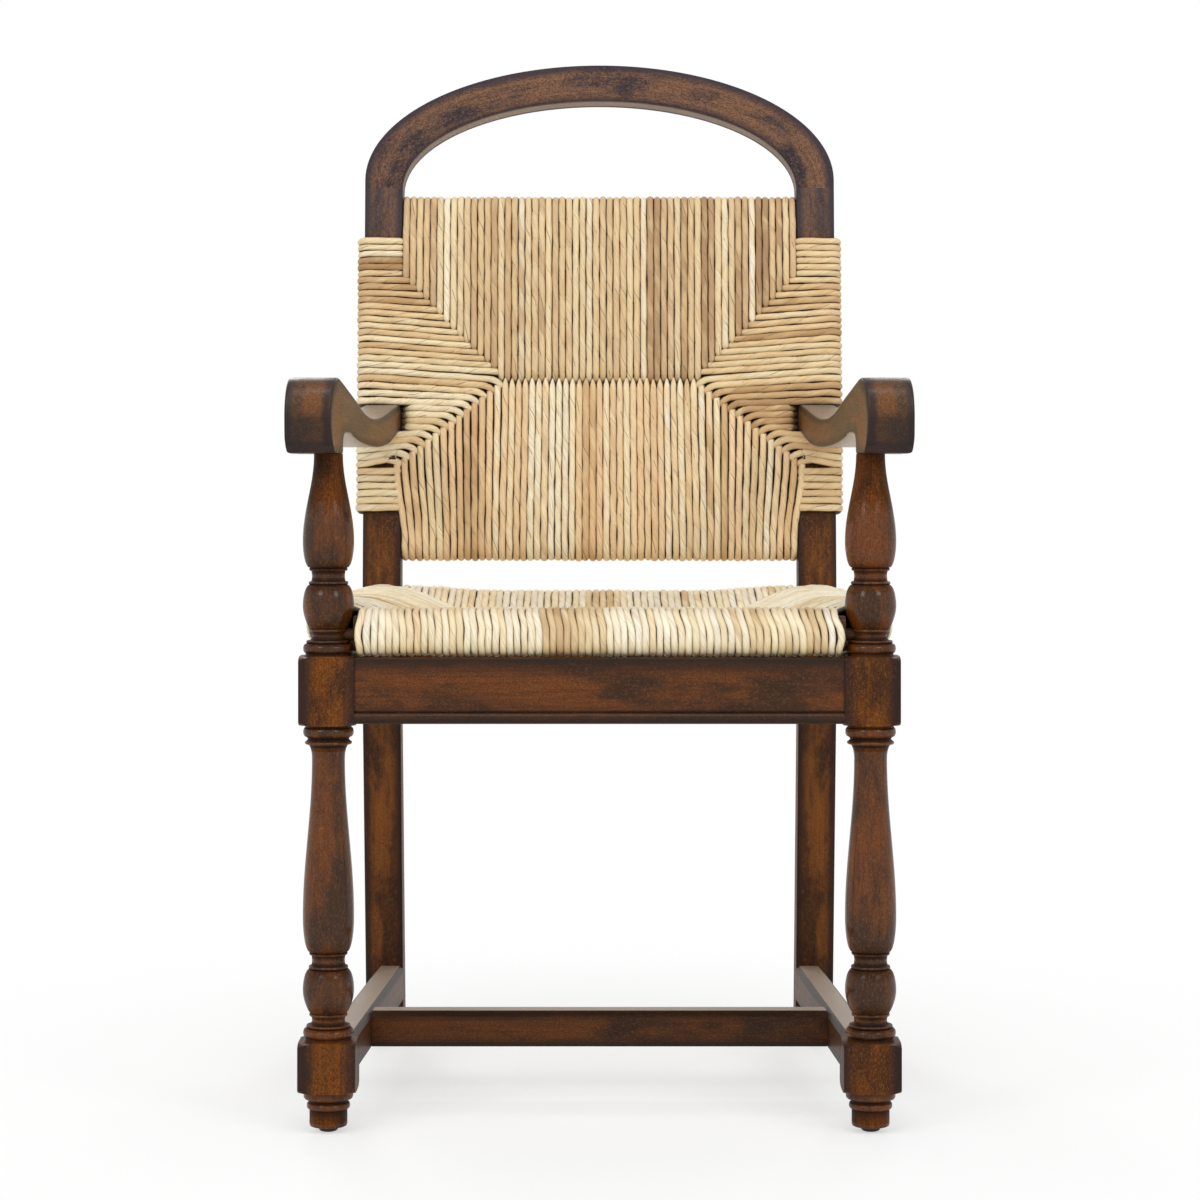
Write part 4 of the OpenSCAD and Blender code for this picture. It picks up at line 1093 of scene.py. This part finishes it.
class Weave:
    """Gathers many cords and makes one piece of them."""

    def __init__(self, name, shades, step, mood=0.4, plain=0.0):
        """step is the distance between rings, mood the usual shade, and plain hides the painted shade in the
        creases and weakens the painted shade between cords.
        """
        self.name, self.palette, self.step, self.plain = name, shades, step, plain
        self.mood, self.usual, self.count = mood, mood, 0
        self.parts, self.sides, self.ends = [], [], []

    def shade_at(self, mood):
        """The light of one place on the range of shades, from 0 at the palest to 1 at the darkest."""
        at = min(max(mood, 0.0), 0.999) * (len(self.palette) - 1)
        shift = picker.uniform(-8, 8)
        pair = zip(self.palette[int(at)], self.palette[int(at) + 1])
        return np.array(tone(*[min(max(a + (b - a) * (at % 1) + shift, 0), 252) for a, b in pair])[:3])

    def next_shades(self):
        """Two shades of the next cord: near the last cord's, or with a jump."""
        self.mood += picker.gauss(0, 0.11) + (self.usual - self.mood) * 0.2
        if picker.random() < 0.27:
            self.mood = self.usual + picker.gauss(0, 0.4)
        self.mood = min(max(self.mood, 0.0), 1.0)
        own = self.mood + picker.gauss(0, 0.08)
        return self.shade_at(own), self.shade_at(own + picker.gauss(0.02, 0.3))

    def cord(self, line, axis, radius, tip, flat=1.0, place=None, taper=9.0, tint=None):
        """A tube along line, in millimetres, which bends round axis. tip is how thin its ends grow, over the
        length taper, flat how thick it is through the weave, and tint colours it by its place."""
        path = resample(line, self.step)
        count = len(path)
        along = np.gradient(path, axis=0)
        along /= np.linalg.norm(along, axis=1)[:, None]
        travel = np.concatenate([[0], np.cumsum(np.linalg.norm(np.diff(path, axis=0), axis=1))])
        out = np.cross(np.array(axis, float), along)
        out /= np.linalg.norm(out, axis=1)[:, None]
        sideways = np.cross(along, out)
        waves = [(picker.uniform(24, 80), picker.uniform(0, 6.3)) for _ in range(4)]
        wobble = [np.sin(travel / w * 6.28 + p) for w, p in waves]
        inner = np.sin(np.pi * np.clip(travel / travel[-1], 0, 1)) ** 0.5
        size = radius * (1 + picker.uniform(-0.05, 0.05) + 0.04 * wobble[2])
        shade, other = self.next_shades()
        change = 0.5 + 0.5 * np.sin(travel / picker.uniform(60, 200) * 6.28 + picker.uniform(0, 6.3))
        share = change[:, None] * picker.uniform(0.0, 0.45) + LEAVES[None, :] * picker.uniform(0.2, 0.55)
        colour = shade * (1 - share[:, :, None]) + other * share[:, :, None]
        if tint is not None:
            colour = colour * tint(path)[:, None, :]
        path = path + sideways * (wobble[0] * 0.3 * inner)[:, None]
        path = path + out * (wobble[1] * 0.28 * inner)[:, None]
        for gone in (travel, travel[-1] - travel):
            size = size * (tip + (1 - tip) * np.sin(np.minimum(gone, taper) / taper * np.pi / 2))
        turn = picker.uniform(0, 6.283) - travel / picker.uniform(44, 66) * 2 * math.pi + 0.5 * wobble[3]
        angle = turn[:, None] + ANGLES[None, :]
        reach = size[:, None] * RADII[None, :]
        ring = (
            path[:, None, :]
            + out[:, None, :] * (np.cos(angle) * reach * flat)[:, :, None]
            + sideways[:, None, :] * (np.sin(angle) * reach)[:, :, None]
        )
        if place is not None:
            ring = place(ring)
        # Painted shade: the marks of the creases, and how far each point turns away from the outside, which
        # darkens a cord's sides and the line between two cords
        painted_shade_relief, fibre = np.empty((count, AROUND, 3)), np.empty((count, AROUND, 3))
        painted_shade_relief[..., 0] = CREASE_SHADE * (1 - self.plain)
        painted_shade_relief[..., 1] = np.clip(1 - np.cos(angle), 0, 1)
        painted_shade_relief[..., 2] = self.plain
        start_at = picker.uniform(0, 50)
        fibre[..., 0] = np.cos(ANGLES) * radius * MM + start_at
        fibre[..., 1] = np.sin(ANGLES) * radius * MM
        fibre[..., 2] = travel[:, None] * MM + start_at
        i = np.arange(count - 1)[:, None] * AROUND + self.count
        j = np.arange(AROUND)[None, :]
        k = (j + 1) % AROUND
        sides = np.stack([i + j, i + AROUND + j, i + AROUND + k, i + k], 2).reshape(-1, 4).tolist()
        last = self.count + (count - 1) * AROUND
        ends = [list(range(self.count, self.count + AROUND)), list(range(last, last + AROUND))[::-1]]
        self.count += count * AROUND
        self.parts.append([new.reshape(-1, 3) for new in (ring, colour, painted_shade_relief, fibre)])
        self.sides += sides
        self.ends += ends

    def finish(self, finish, slot, node):
        faces = self.sides + self.ends
        points, shades, painted_shade_relief, fibre = (np.concatenate(part) for part in zip(*self.parts))
        piece = new_piece(self.name, points, [], faces)
        piece.data.polygons.foreach_set("use_smooth", np.ones(len(faces), bool))
        shade = piece.data.attributes.new("shade", "FLOAT_COLOR", "POINT")
        colours = np.concatenate([shades, np.ones((self.count, 1))], 1)
        shade.data.foreach_set("color", colours.astype(np.float32).ravel())
        vector_attribute(piece, "painted_shade_relief", painted_shade_relief)
        vector_attribute(piece, "fibre", fibre)
        edit(piece)
        bpy.ops.mesh.normals_make_consistent(inside=False)
        mode("OBJECT")
        print(self.name, "has", len(self.parts), "cords")
        settle(piece, finish, slot, node)


# %% [markdown]
# On the back the upright cords hang from the top rail and stand on the bottom rail, and the level cords
# go round the posts. In each quarter they meet on a diagonal, like the mitre of a picture frame, and in
# the middle the upright ones meet tip to tip. Above the middle each upright of a corner stands on the
# end of a level cord, so the two look like an L. Below it the level cords arch down over the tips of the
# uprights. All the level cords sag a little towards the middle. The rear face has the same weave.

# %% Layout of the back
ROWS, OUTER_ROWS, CORNER = 40, 6, 14
ROW_TOP, ROW_PITCH = 368.9, 7.09
LOW_TOP, LOW_PITCH = 227.1, 7.85
PANEL_HALF, UPPER_COUNT, LOWER_COUNT = 214.2, 58, 57
UPPER_PITCH, LOWER_PITCH = 2 * PANEL_HALF / UPPER_COUNT, 2 * PANEL_HALF / LOWER_COUNT
RAIL_W, WRAP_W, WRAP_X, SAG_END = 15.05, 24.5, 260.0, 250.0
TOP_V, BOTTOM_V = 417.2, 25.8
ARM_LOW, ARM_HIGH = 160.0, 191.0


def lean_all(points):
    """Turns an array of x, w, v into places in the chair's frame."""
    x, w, v = points[..., 0], points[..., 1], points[..., 2]
    c, s = math.cos(RECLINE), math.sin(RECLINE)
    return np.stack([x, BACK_Y + w * c + v * s, BEND_Z - w * s + v * c], -1)


def skin(x, v):
    """How far the woven face stands from the back's middle: thicker towards the posts."""
    near_post = min(max((abs(x) - 95) / 115, 0), 1) ** 1.6
    away = min(ease((405 - v) / 55), ease((v - 45) / 50))
    return RAIL_W + (WRAP_W - 1.0 - RAIL_W) * near_post * away


def row_height(row):
    """Height of a level cord at the post."""
    if row <= ROWS // 2:
        return ROW_TOP - (row - 1) * ROW_PITCH
    return LOW_TOP - (row - ROWS // 2 - 1) * LOW_PITCH


def sag(k):
    """How far the end of an upper level cord lies below its height at the post; k counts from the corner."""
    return min(0.95 * (k - 1) + 0.5, 7.4)


def arch_end(k):
    """Height at which a lower level cord ends, in front of the tip of the k-th upright."""
    return row_height(ROWS - OUTER_ROWS + 1 - k) - 1.22 * (k - 1)


def lower_x(k, v):
    """Where the k-th lower upright from the post stands at a height: the corners fan out upwards."""
    even = PANEL_HALF - (k - 0.5) * LOWER_PITCH
    fanned = (29 - k) * 7.31 if k > CORNER else 102.3 + (CORNER + 1 - k) * 8.35
    return even + (fanned - even) * ease((v - 40) / (max(arch_end(min(k, CORNER)), 110) - 40))


def upright(x_at, end_v, top, dive, run):
    """Half of an upright cord, from its end on one face to the middle of the rail that it goes round."""
    edge_v, rail_v, sign = (TOP_V, 398.2, 1) if top else (BOTTOM_V, 44.8, -1)
    x = x_at(end_v)
    line = [(x, skin(x, end_v) - dive, end_v), (x, skin(x, end_v) - dive * 0.3, end_v + sign * run / 2)]
    reach = abs(rail_v - end_v) - run
    for i in range(9):
        v = end_v + sign * (run + reach * i / 8)
        line.append((x_at(v), skin(x_at(v), v), v))
    x = x_at(rail_v)
    line += [(x, RAIL_W, rail_v + sign * 9), (x, RAIL_W - 2.5, edge_v - sign * 3.4)]
    return line + [(x, RAIL_W - 6.5, edge_v), (x, 0, edge_v)]


def back_cord(weave, half, axis, pitch, tip, taper):
    """A whole cord of the back: its half on the front face, then the same on the rear face."""
    line = [(x, -w, v) for x, w, v in half] + half[-2::-1]
    weave.cord(line, axis, pitch / 2 * PRESS, tip, place=lean_all, taper=taper)


print("row pitch", round(ROW_PITCH, 2), "mm, upright pitch", round(UPPER_PITCH, 2), "mm")

# %% [markdown]
# The uprights come first, over the top rail and then over the bottom rail. Each is drawn as half a line,
# from its end on the front face to the middle of its rail, and the rear face gets the same half again.
# The full line could be given, but half of it is shorter and keeps both faces alike.

# %% Upright cords of the back
back_top = Weave("rush_back_top", TAN_SHADES, 4.4, 0.42)
for i in range(UPPER_COUNT):
    x = -PANEL_HALF + (i + 0.5) * UPPER_PITCH
    k = min(i, UPPER_COUNT - 1 - i) + 1
    if k <= CORNER:
        end_v = ROW_TOP + ROW_PITCH * (0.5 - OUTER_ROWS - k + 1) - max(sag(k) + 0.8, 3.5)
        half = upright(lambda v: x, end_v + picker.uniform(-0.4, 0.4), True, 1.2, 4.0)
        tip, taper = 0.62, 4.5
    else:
        half = upright(lambda v: x, 214.0 + picker.uniform(-0.8, 0.8), True, 7.5, 13.0)
        tip, taper = 0.3, 13.0
    back_cord(back_top, half, (1, 0, 0), UPPER_PITCH, tip, taper)
back_top.finish(rush_back_finish, "back_rush", "rush_back")

back_bottom = Weave("rush_back_bottom", CREAM_SHADES, 4.4, 0.34)
for i in range(LOWER_COUNT):
    side = -1 if i < LOWER_COUNT / 2 else 1
    k = min(i, LOWER_COUNT - 1 - i) + 1
    if k <= CORNER:
        end_v = arch_end(k) + 6 + picker.uniform(-0.5, 0.5)
        half = upright(lambda v: side * lower_x(k, v), end_v, False, 5.0, 9.0)
        tip, taper = 0.8, 6.0
    else:
        half = upright(lambda v: side * lower_x(k, v), 221.5 + picker.uniform(-1.3, 1.0), False, 2.4, 12.0)
        tip, taper = 0.16, 13.5
    back_cord(back_bottom, half, (-1, 0, 0), LOWER_PITCH, tip, taper)
back_bottom.finish(rush_back_finish, "back_rush", "rush_back")

# %% [markdown]
# The level cords go round the posts, row by row. Where the arm meets the post the weave leaves a notch,
# and there the cords turn back beside the post's inner face. One function gives every row, since upper
# rows, arching lower rows and notched ones only differ in how they begin and end.

# %% Level cords of the back


def level_half(side, row):
    """Half of a level cord of one side: from its inner end on the face to the post's outer side."""
    v = row_height(row)
    upper = row <= ROWS // 2
    k = row - OUTER_ROWS if upper else ROWS - OUTER_ROWS + 1 - row
    fall = 0.0
    if k < 1:
        inner = PANEL_HALF + (0.5 if upper else 3.0)
        line = [(inner - 6, skin(210, v) - 10, v), (inner, skin(210, v) - 4.5, v)]
    elif upper:
        inner, fall = PANEL_HALF - k * UPPER_PITCH, sag(k)
        line = [(inner - 3.0, skin(inner, v) - 6.5, v - fall), (inner + 0.8, skin(inner, v) - 1.6, v - fall)]
        line += [(inner + 5, skin(inner + 5, v), v - fall * 0.99)]
    else:
        low = arch_end(k)
        inner = (lower_x(k, low) + lower_x(k + 1, low)) / 2
        fall = max(v - low - 7.5, -4.5)
        line = [
            (inner - 0.6, skin(inner, low) - 6.5, low - 2.5),
            (inner + 1.5, skin(inner, low) - 0.6, low + 1.0),
            (inner + 5, skin(inner + 5, v) + 0.8, low + (v - fall - low) * 0.62),
            (inner + 10, skin(inner + 10, v) + 0.8, low + (v - fall - low) * 0.93),
            (inner + 16, skin(inner + 16, v) + 0.4, v - fall),
        ]
    in_notch = ARM_LOW < v < ARM_HIGH
    last, push = (211.2 if in_notch else 218.0), 0.0
    # The cords next to the arm lie a little lower at the post
    if ARM_HIGH <= v < ARM_HIGH + 24:
        push = -1.6 * (1 - (v - ARM_HIGH) / 24)
    elif ARM_LOW - 24 < v <= ARM_LOW:
        push = -1.2 * (1 - (ARM_LOW - v) / 24)
    inner_end = line[-1][0]
    for i in range(1, 7):
        x = inner_end + (last - inner_end) * i / 7
        if x > inner_end + 3:
            height = v - fall * (1 - (x - inner_end) / (SAG_END - inner_end))
            line.append((x, skin(x, v), height + push * ease((x - 150) / 70)))
    at = v - fall * (1 - (last - inner_end) / (SAG_END - inner_end)) + push
    if in_notch:
        line += [(last - 4, 17.0, at), (last - 0.6, 11.5, at), (last, 0, at)]
    else:
        line += [
            (last, WRAP_W - 0.3, at), (POST_X, WRAP_W, (at + v + push) / 2), (POST_OUT - 4, WRAP_W, v + push),
            (POST_OUT + 1, WRAP_W - 3.2, v + push), (WRAP_X, WRAP_W - 8, v + push), (WRAP_X, 0, v + push),
        ]
    return [(side * x, w, y) for x, w, y in line]


for side, name in ((1, "left"), (-1, "right")):
    weave = Weave("rush_back_" + name, LEVEL_SHADES, 4.2, 0.36)
    for row in range(1, ROWS + 1):
        pitch = ROW_PITCH if row <= ROWS // 2 else LOW_PITCH
        back_cord(weave, level_half(side, row), (0, 0, -side), pitch, 0.75, 5.0)
    weave.finish(rush_back_finish, "back_rush", "rush_back")

# %% [markdown]
# Straw fills the space between the two faces, so no daylight shows through the weave. It is a soft slab
# that is only ever seen as a dark shade between the cords.

# %% Filling of the back and its finish
straw = material("straw_filling")
stalk = straw.noise(straw.place(), (800, 60, 60), 4.0, 0.7)
straw.surface({
    "Base Color": straw.colour(stalk.rise(0.3, 0.7), tone(66, 44, 26), tone(128, 92, 54)),
    "Roughness": stalk * 0.2 + 0.7,
})
straw.bump(stalk, 0.001, 0.8)


def soft_slab(name, size, place):
    """A slab whose edges are rounded with the bevel operator, set in its place."""
    piece = box(name, size, Matrix())
    edit(piece)
    bpy.ops.mesh.subdivide(number_cuts=6)
    round_edges(piece, 3, lambda a, b, turn: turn > 1)
    piece.data.transform(place)
    close_up(piece, 50)
    return piece


panel_middle = [c * MM for c in lean(0, 0, (TOP_V + BOTTOM_V) / 2)]
back_place = Matrix.Translation(panel_middle) @ Matrix.Rotation(-RECLINE, 4, "X")
back_filling = soft_slab("back_filling", (408, 17, 318), back_place)
settle(back_filling, straw.owner, "stuffing", "rush_back")

# %% [markdown]
# The seat is woven in the same way round its four rails. The front is wider than the back, so the front
# corners take a few more cords. The middle of the seat is dished a little, and the side rails lie higher
# than the front and rear ones. The underside has the same four fields.

# %% Layout of the seat
FRONT_COUNT, REAR_COUNT, SIDE_COUNT = 68, 58, 52
FRONT_HALF, REAR_HALF = 229.5, 214.4
FIRST_Y, LAST_Y = LEG_Y + 25.0, BACK_Y - 21.0
SEAT_MID_Y = (FIRST_Y + LAST_Y) / 2
SEAT_MID_X = 36.0
HALF_W, HALF_H = 19.0, 19.5
RAIL_Z = {"front": 473.7, "rear": 475.7, "side": 481.7}
DISH_TOP, DISH_BOTTOM = 474.6, 458.2


def side_rail_x(y):
    """The side rails run inwards from 260 mm at the front leg to 234 mm at the back post."""
    return 260 + (234 - 260) * (y - LEG_Y) / SPACING


def seat_height(share, rail_z, up):
    """Height of a cord's middle on the top (up is 1) or underneath (-1): share is 0 over its rail and 1 at
    the seat's middle."""
    edge, middle = rail_z + up * HALF_H, DISH_TOP if up > 0 else DISH_BOTTOM
    return edge + (middle - edge) * ease((share - 0.12) / 0.42)


def over_rail(rail_at, rail_z, end_at, sign, whole, dive, meet=(0.0, 0.0)):
    """A cord in its own upright plane: from its end on the top, round the rail, to its end underneath.
    Places are (distance along the run, height). sign points out of the seat, whole is the full run, and meet
    is how much lower the cord's end lies, on the top and underneath, to close up with the next field."""
    line = []
    reach = abs(end_at - rail_at)
    steps = max(int(reach / 10), 2)
    for up, drop in zip((1, -1), meet):
        end_z = seat_height(reach / whole, rail_z, up)
        part = [(end_at - sign * 2.5, end_z - up * dive - drop), (end_at + sign * 3.0, end_z - drop)]
        for i in range(1, steps + 1):
            at = end_at + sign * (3 + (reach - 13) * i / steps)
            height = seat_height(abs(at - rail_at) / whole, rail_z, up)
            part.append((at, height - drop * ease(1 - i / steps)))
        for out, rise in ((5, HALF_H), (13, HALF_H - 1.6), (HALF_W - 1.6, 13), (HALF_W, 5)):
            part.append((rail_at + sign * out, rail_z + up * rise))
        line += part if up > 0 else part[::-1]
    return line


def front_tint(path):
    """The front cords are tinted by height: yellower low down and a little greyer where they turn over the
    top.
    """
    low = np.clip((470 - path[:, 2]) / 16, 0, 1)[:, None]
    turned = np.clip((path[:, 2] - 484) / 8, 0, 1)[:, None]
    return (1 - low * np.array([0.10, 0.17, 0.36])) * (1 - turned * np.array([0.13, 0.16, 0.17]))


print("seat pitch", round(2 * FRONT_HALF / FRONT_COUNT, 2), "mm")

# %% [markdown]
# The front and the rear field are alike: their cords run from the rail to the middle of the seat, on the
# top and underneath. Near the corners they end on the diagonal, where the side cords begin, and between
# those they meet tip to tip. So one function makes both fields.

# %% Cords over the front and rear rails


def end_rail_field(name, count, half, rail_at, rail_z, corner_y, sign, mood, tint):
    """The cords that run front to back, over the front rail (sign -1) or the rear rail (sign 1)."""
    weave = Weave(name, SEAT_SHADES, 4.0, mood, 0.3)
    pitch = 2 * half / count
    for i in range(count):
        x = (i + 0.5) * pitch - half
        inward = (half - abs(x)) / (half - SEAT_MID_X)
        if inward < 1:
            end, tip, dive = corner_y + (SEAT_MID_Y - corner_y) * inward, 0.7, 6.5
        else:
            end, tip, dive = SEAT_MID_Y + sign * -2.5, 0.35, 5.0
        kink = picker.uniform(-0.7, 0.7)
        line = []
        bulge = 3.4 * 0.4 ** min(i, count - 1 - i) * math.copysign(1, x)
        leaning = 3.4 * ease((half - abs(x)) / 45) if sign < 0 else 0.0
        corner_lift = 5.0 * ease((abs(x) - 110) / 95) - 0.4 if sign > 0 else 0.0
        for y, z in over_rail(rail_at, rail_z, end, sign, abs(SEAT_MID_Y - rail_at), dive):
            pull = ease((z - rail_z + 4) / 22)
            z += corner_lift * ease((z - rail_z) / 15) * ease(1 - abs(y - rail_at) / 110)
            belly = bulge * math.exp(-(((z - rail_z) / 9) ** 2))
            skew = leaning * ease((z - rail_z - 5) / 14) * ease((80 - abs(y - rail_at)) / 55)
            line.append((x * (1 - (0.007 if x < 0 else 0.02) * pull) + kink * pull + belly - skew, y, z))
        weave.cord(line, (sign, 0, 0), pitch / 2 * PRESS, tip, flat=0.95, tint=tint)
    weave.finish(rush_seat_finish, "seat_rush", "rush_seat")


end_rail_field("rush_seat_front", FRONT_COUNT, FRONT_HALF, LEG_Y, RAIL_Z["front"], FIRST_Y, -1, 0.33, front_tint)
end_rail_field("rush_seat_rear", REAR_COUNT, REAR_HALF, BACK_Y, RAIL_Z["rear"], LAST_Y, 1, 0.04, None)

# %% [markdown]
# The side fields run across the seat. Their rails lie higher, so each cord dips at its inner end, by as
# much as it takes to close up with the front or the rear field.

# %% Cords over the side rails
for side, name in ((1, "left"), (-1, "right")):
    weave = Weave("rush_seat_" + name, SEAT_SHADES, 4.4, 0.03, 0.8)
    pitch = (LAST_Y - FIRST_Y) / SIDE_COUNT
    for i in range(SIDE_COUNT):
        y = FIRST_Y + (i + 0.5) * pitch
        k = min(i, SIDE_COUNT - 1 - i)
        corner = FRONT_HALF if i < SIDE_COUNT / 2 else REAR_HALF
        end = corner - (corner - SEAT_MID_X) * (k + 0.5) / (SIDE_COUNT / 2)
        rail_x = side_rail_x(y)
        far_rail, far_y = ("front", LEG_Y) if i < SIDE_COUNT / 2 else ("rear", BACK_Y)
        share, other = (rail_x - end) / (rail_x - SEAT_MID_X), abs(y - far_y) / abs(SEAT_MID_Y - far_y)
        meet = [
            seat_height(share, RAIL_Z["side"], up) - seat_height(other, RAIL_Z[far_rail], up) - 0.5
            for up in (1, -1)
        ]
        flat_line = over_rail(rail_x, RAIL_Z["side"], end, 1, rail_x - SEAT_MID_X, 5.0, meet)
        line = [(side * x, y, z) for x, z in flat_line]
        weave.cord(line, (0, -side, 0), pitch / 2 * 1.06, 0.6, flat=0.92)
    weave.finish(rush_seat_finish, "seat_rush", "rush_seat")

# %% [markdown]
# The seat has the same straw as the back between its two layers. One thin slab is enough, since it only
# shows as a dark shade. It narrows towards the back, as the seat does.

# %% Filling of the seat
seat_place = Matrix.Translation((0, (LEG_Y + BACK_Y) / 2 * MM, 466.9 * MM))
seat_filling = soft_slab("seat_filling", (424, 366, 10), seat_place)
for vertex in seat_filling.data.vertices:
    vertex.co.x *= 1 - 0.055 * (vertex.co.y / MM - LEG_Y) / SPACING
settle(seat_filling, straw.owner, "stuffing", "seat_stuffing", "rush_seat")

# %% [markdown]
# The stage is a plain white floor in soft studio light: two broad lamps in front, left and right, one
# over the chair, two behind it that put the spots of light on the turned balls, and a white world. Seen
# by the camera and in reflections the world is plain white, and the floor fades into it away from the
# chair, but keeps the chair's soft shadow.

# %% Floor, world and lamps
WHITE, WORLD_LIGHT = (1, 1, 1, 1), 0.62


def seen(made):
    """1 for a ray that comes from the camera, straight, by a reflection or through something clear."""
    rays = made.node("ShaderNodeLightPath").outputs
    camera_ray, glossy, through = (
        Level(made, rays[key]) for key in ("Is Camera Ray", "Is Glossy Ray", "Is Transmission Ray")
    )
    return camera_ray.most(glossy).most(through)


def show_mixed(made, share, other):
    """Changes the shader into another one by a share."""
    mixed = made.node("ShaderNodeMixShader", {}, {0: share, 1: made.shader.outputs[0], 2: other.outputs[0]})
    made.put(made.output.inputs["Surface"], mixed.outputs[0])


start()
bpy.ops.mesh.primitive_plane_add(size=14, location=(0, 0, 0))
floor = bpy.context.object
floor.name = "floor"
ground = material("floor_white")
ground.surface({"Base Color": (0.9, 0.9, 0.9, 1), "Roughness": 0.9, "Specular IOR Level": 0.0})
distance = ground.node("ShaderNodeVectorMath", {"operation": "LENGTH"}, {0: ground.place()}).outputs["Value"]
fade = Level(ground, distance).rise(0.3, 1.1)
glow = ground.node("ShaderNodeEmission", {}, {"Color": WHITE, "Strength": 1.0})
show_mixed(ground, (fade * 0.42 + 0.58) * seen(ground), glow)
floor.data.materials.append(ground.owner)

sky = Finish(bpy.data.worlds.new("studio"), "ShaderNodeBackground", "ShaderNodeOutputWorld")
bpy.context.scene.world = sky.owner
sky.surface({"Color": WHITE, "Strength": WORLD_LIGHT})
show_mixed(sky, seen(sky), sky.node("ShaderNodeBackground", {}, {"Color": WHITE, "Strength": 1.0}))

for name, place, aim, size, watts in (
    ("softbox_left", (-2.1, -2.7, 2.3), (0, 0, 0.5), (1.1, 1.1), 27),
    ("softbox_right", (2.1, -2.7, 2.3), (0, 0, 0.5), (1.1, 1.1), 27),
    ("overhead", (0, -1.5, 3.1), (0, 0, 0.5), (1.8, 0.5), 22),
    ("rear_left", (-0.95, 2.7, 2.6), (0, 0, 0.6), (0.8, 0.8), 26),
    ("rear_right", (0.95, 2.7, 2.6), (0, 0, 0.6), (0.8, 0.8), 16),
):
    data = bpy.data.lights.new(name, "AREA")
    data.shape, data.size, data.size_y, data.energy = "RECTANGLE", size[0], size[1], watts
    lamp = bpy.data.objects.new(name, data)
    bpy.context.scene.collection.objects.link(lamp)
    lamp.location = place
    lamp.rotation_euler = (Vector(aim) - Vector(place)).to_track_quat("-Z", "Y").to_euler()

# %% [markdown]
# The photograph is a level front view from about three metres, 0.62 m above the floor. The lens and the
# shift were worked out from how the rear parts shrink and from the height at which level lines meet.

# %% Camera
camera_data = bpy.data.cameras.new("camera")
camera = bpy.data.objects.new("camera", camera_data)
bpy.context.scene.collection.objects.link(camera)
camera.location = (0, (LEG_Y - 3000) * MM, 0.623)
camera.rotation_euler = (math.radians(90), 0, 0)
camera_data.sensor_width = 36
camera_data.lens = 94.74
camera_data.shift_y = -0.1042
camera_data.shift_x = 0.0004
bpy.context.scene.camera = camera
bpy.context.scene.view_settings.view_transform = "Standard"
print("lens", camera_data.lens, "mm")

# %% [markdown]
# The last step leaves nothing selected.

# %% The end
start()
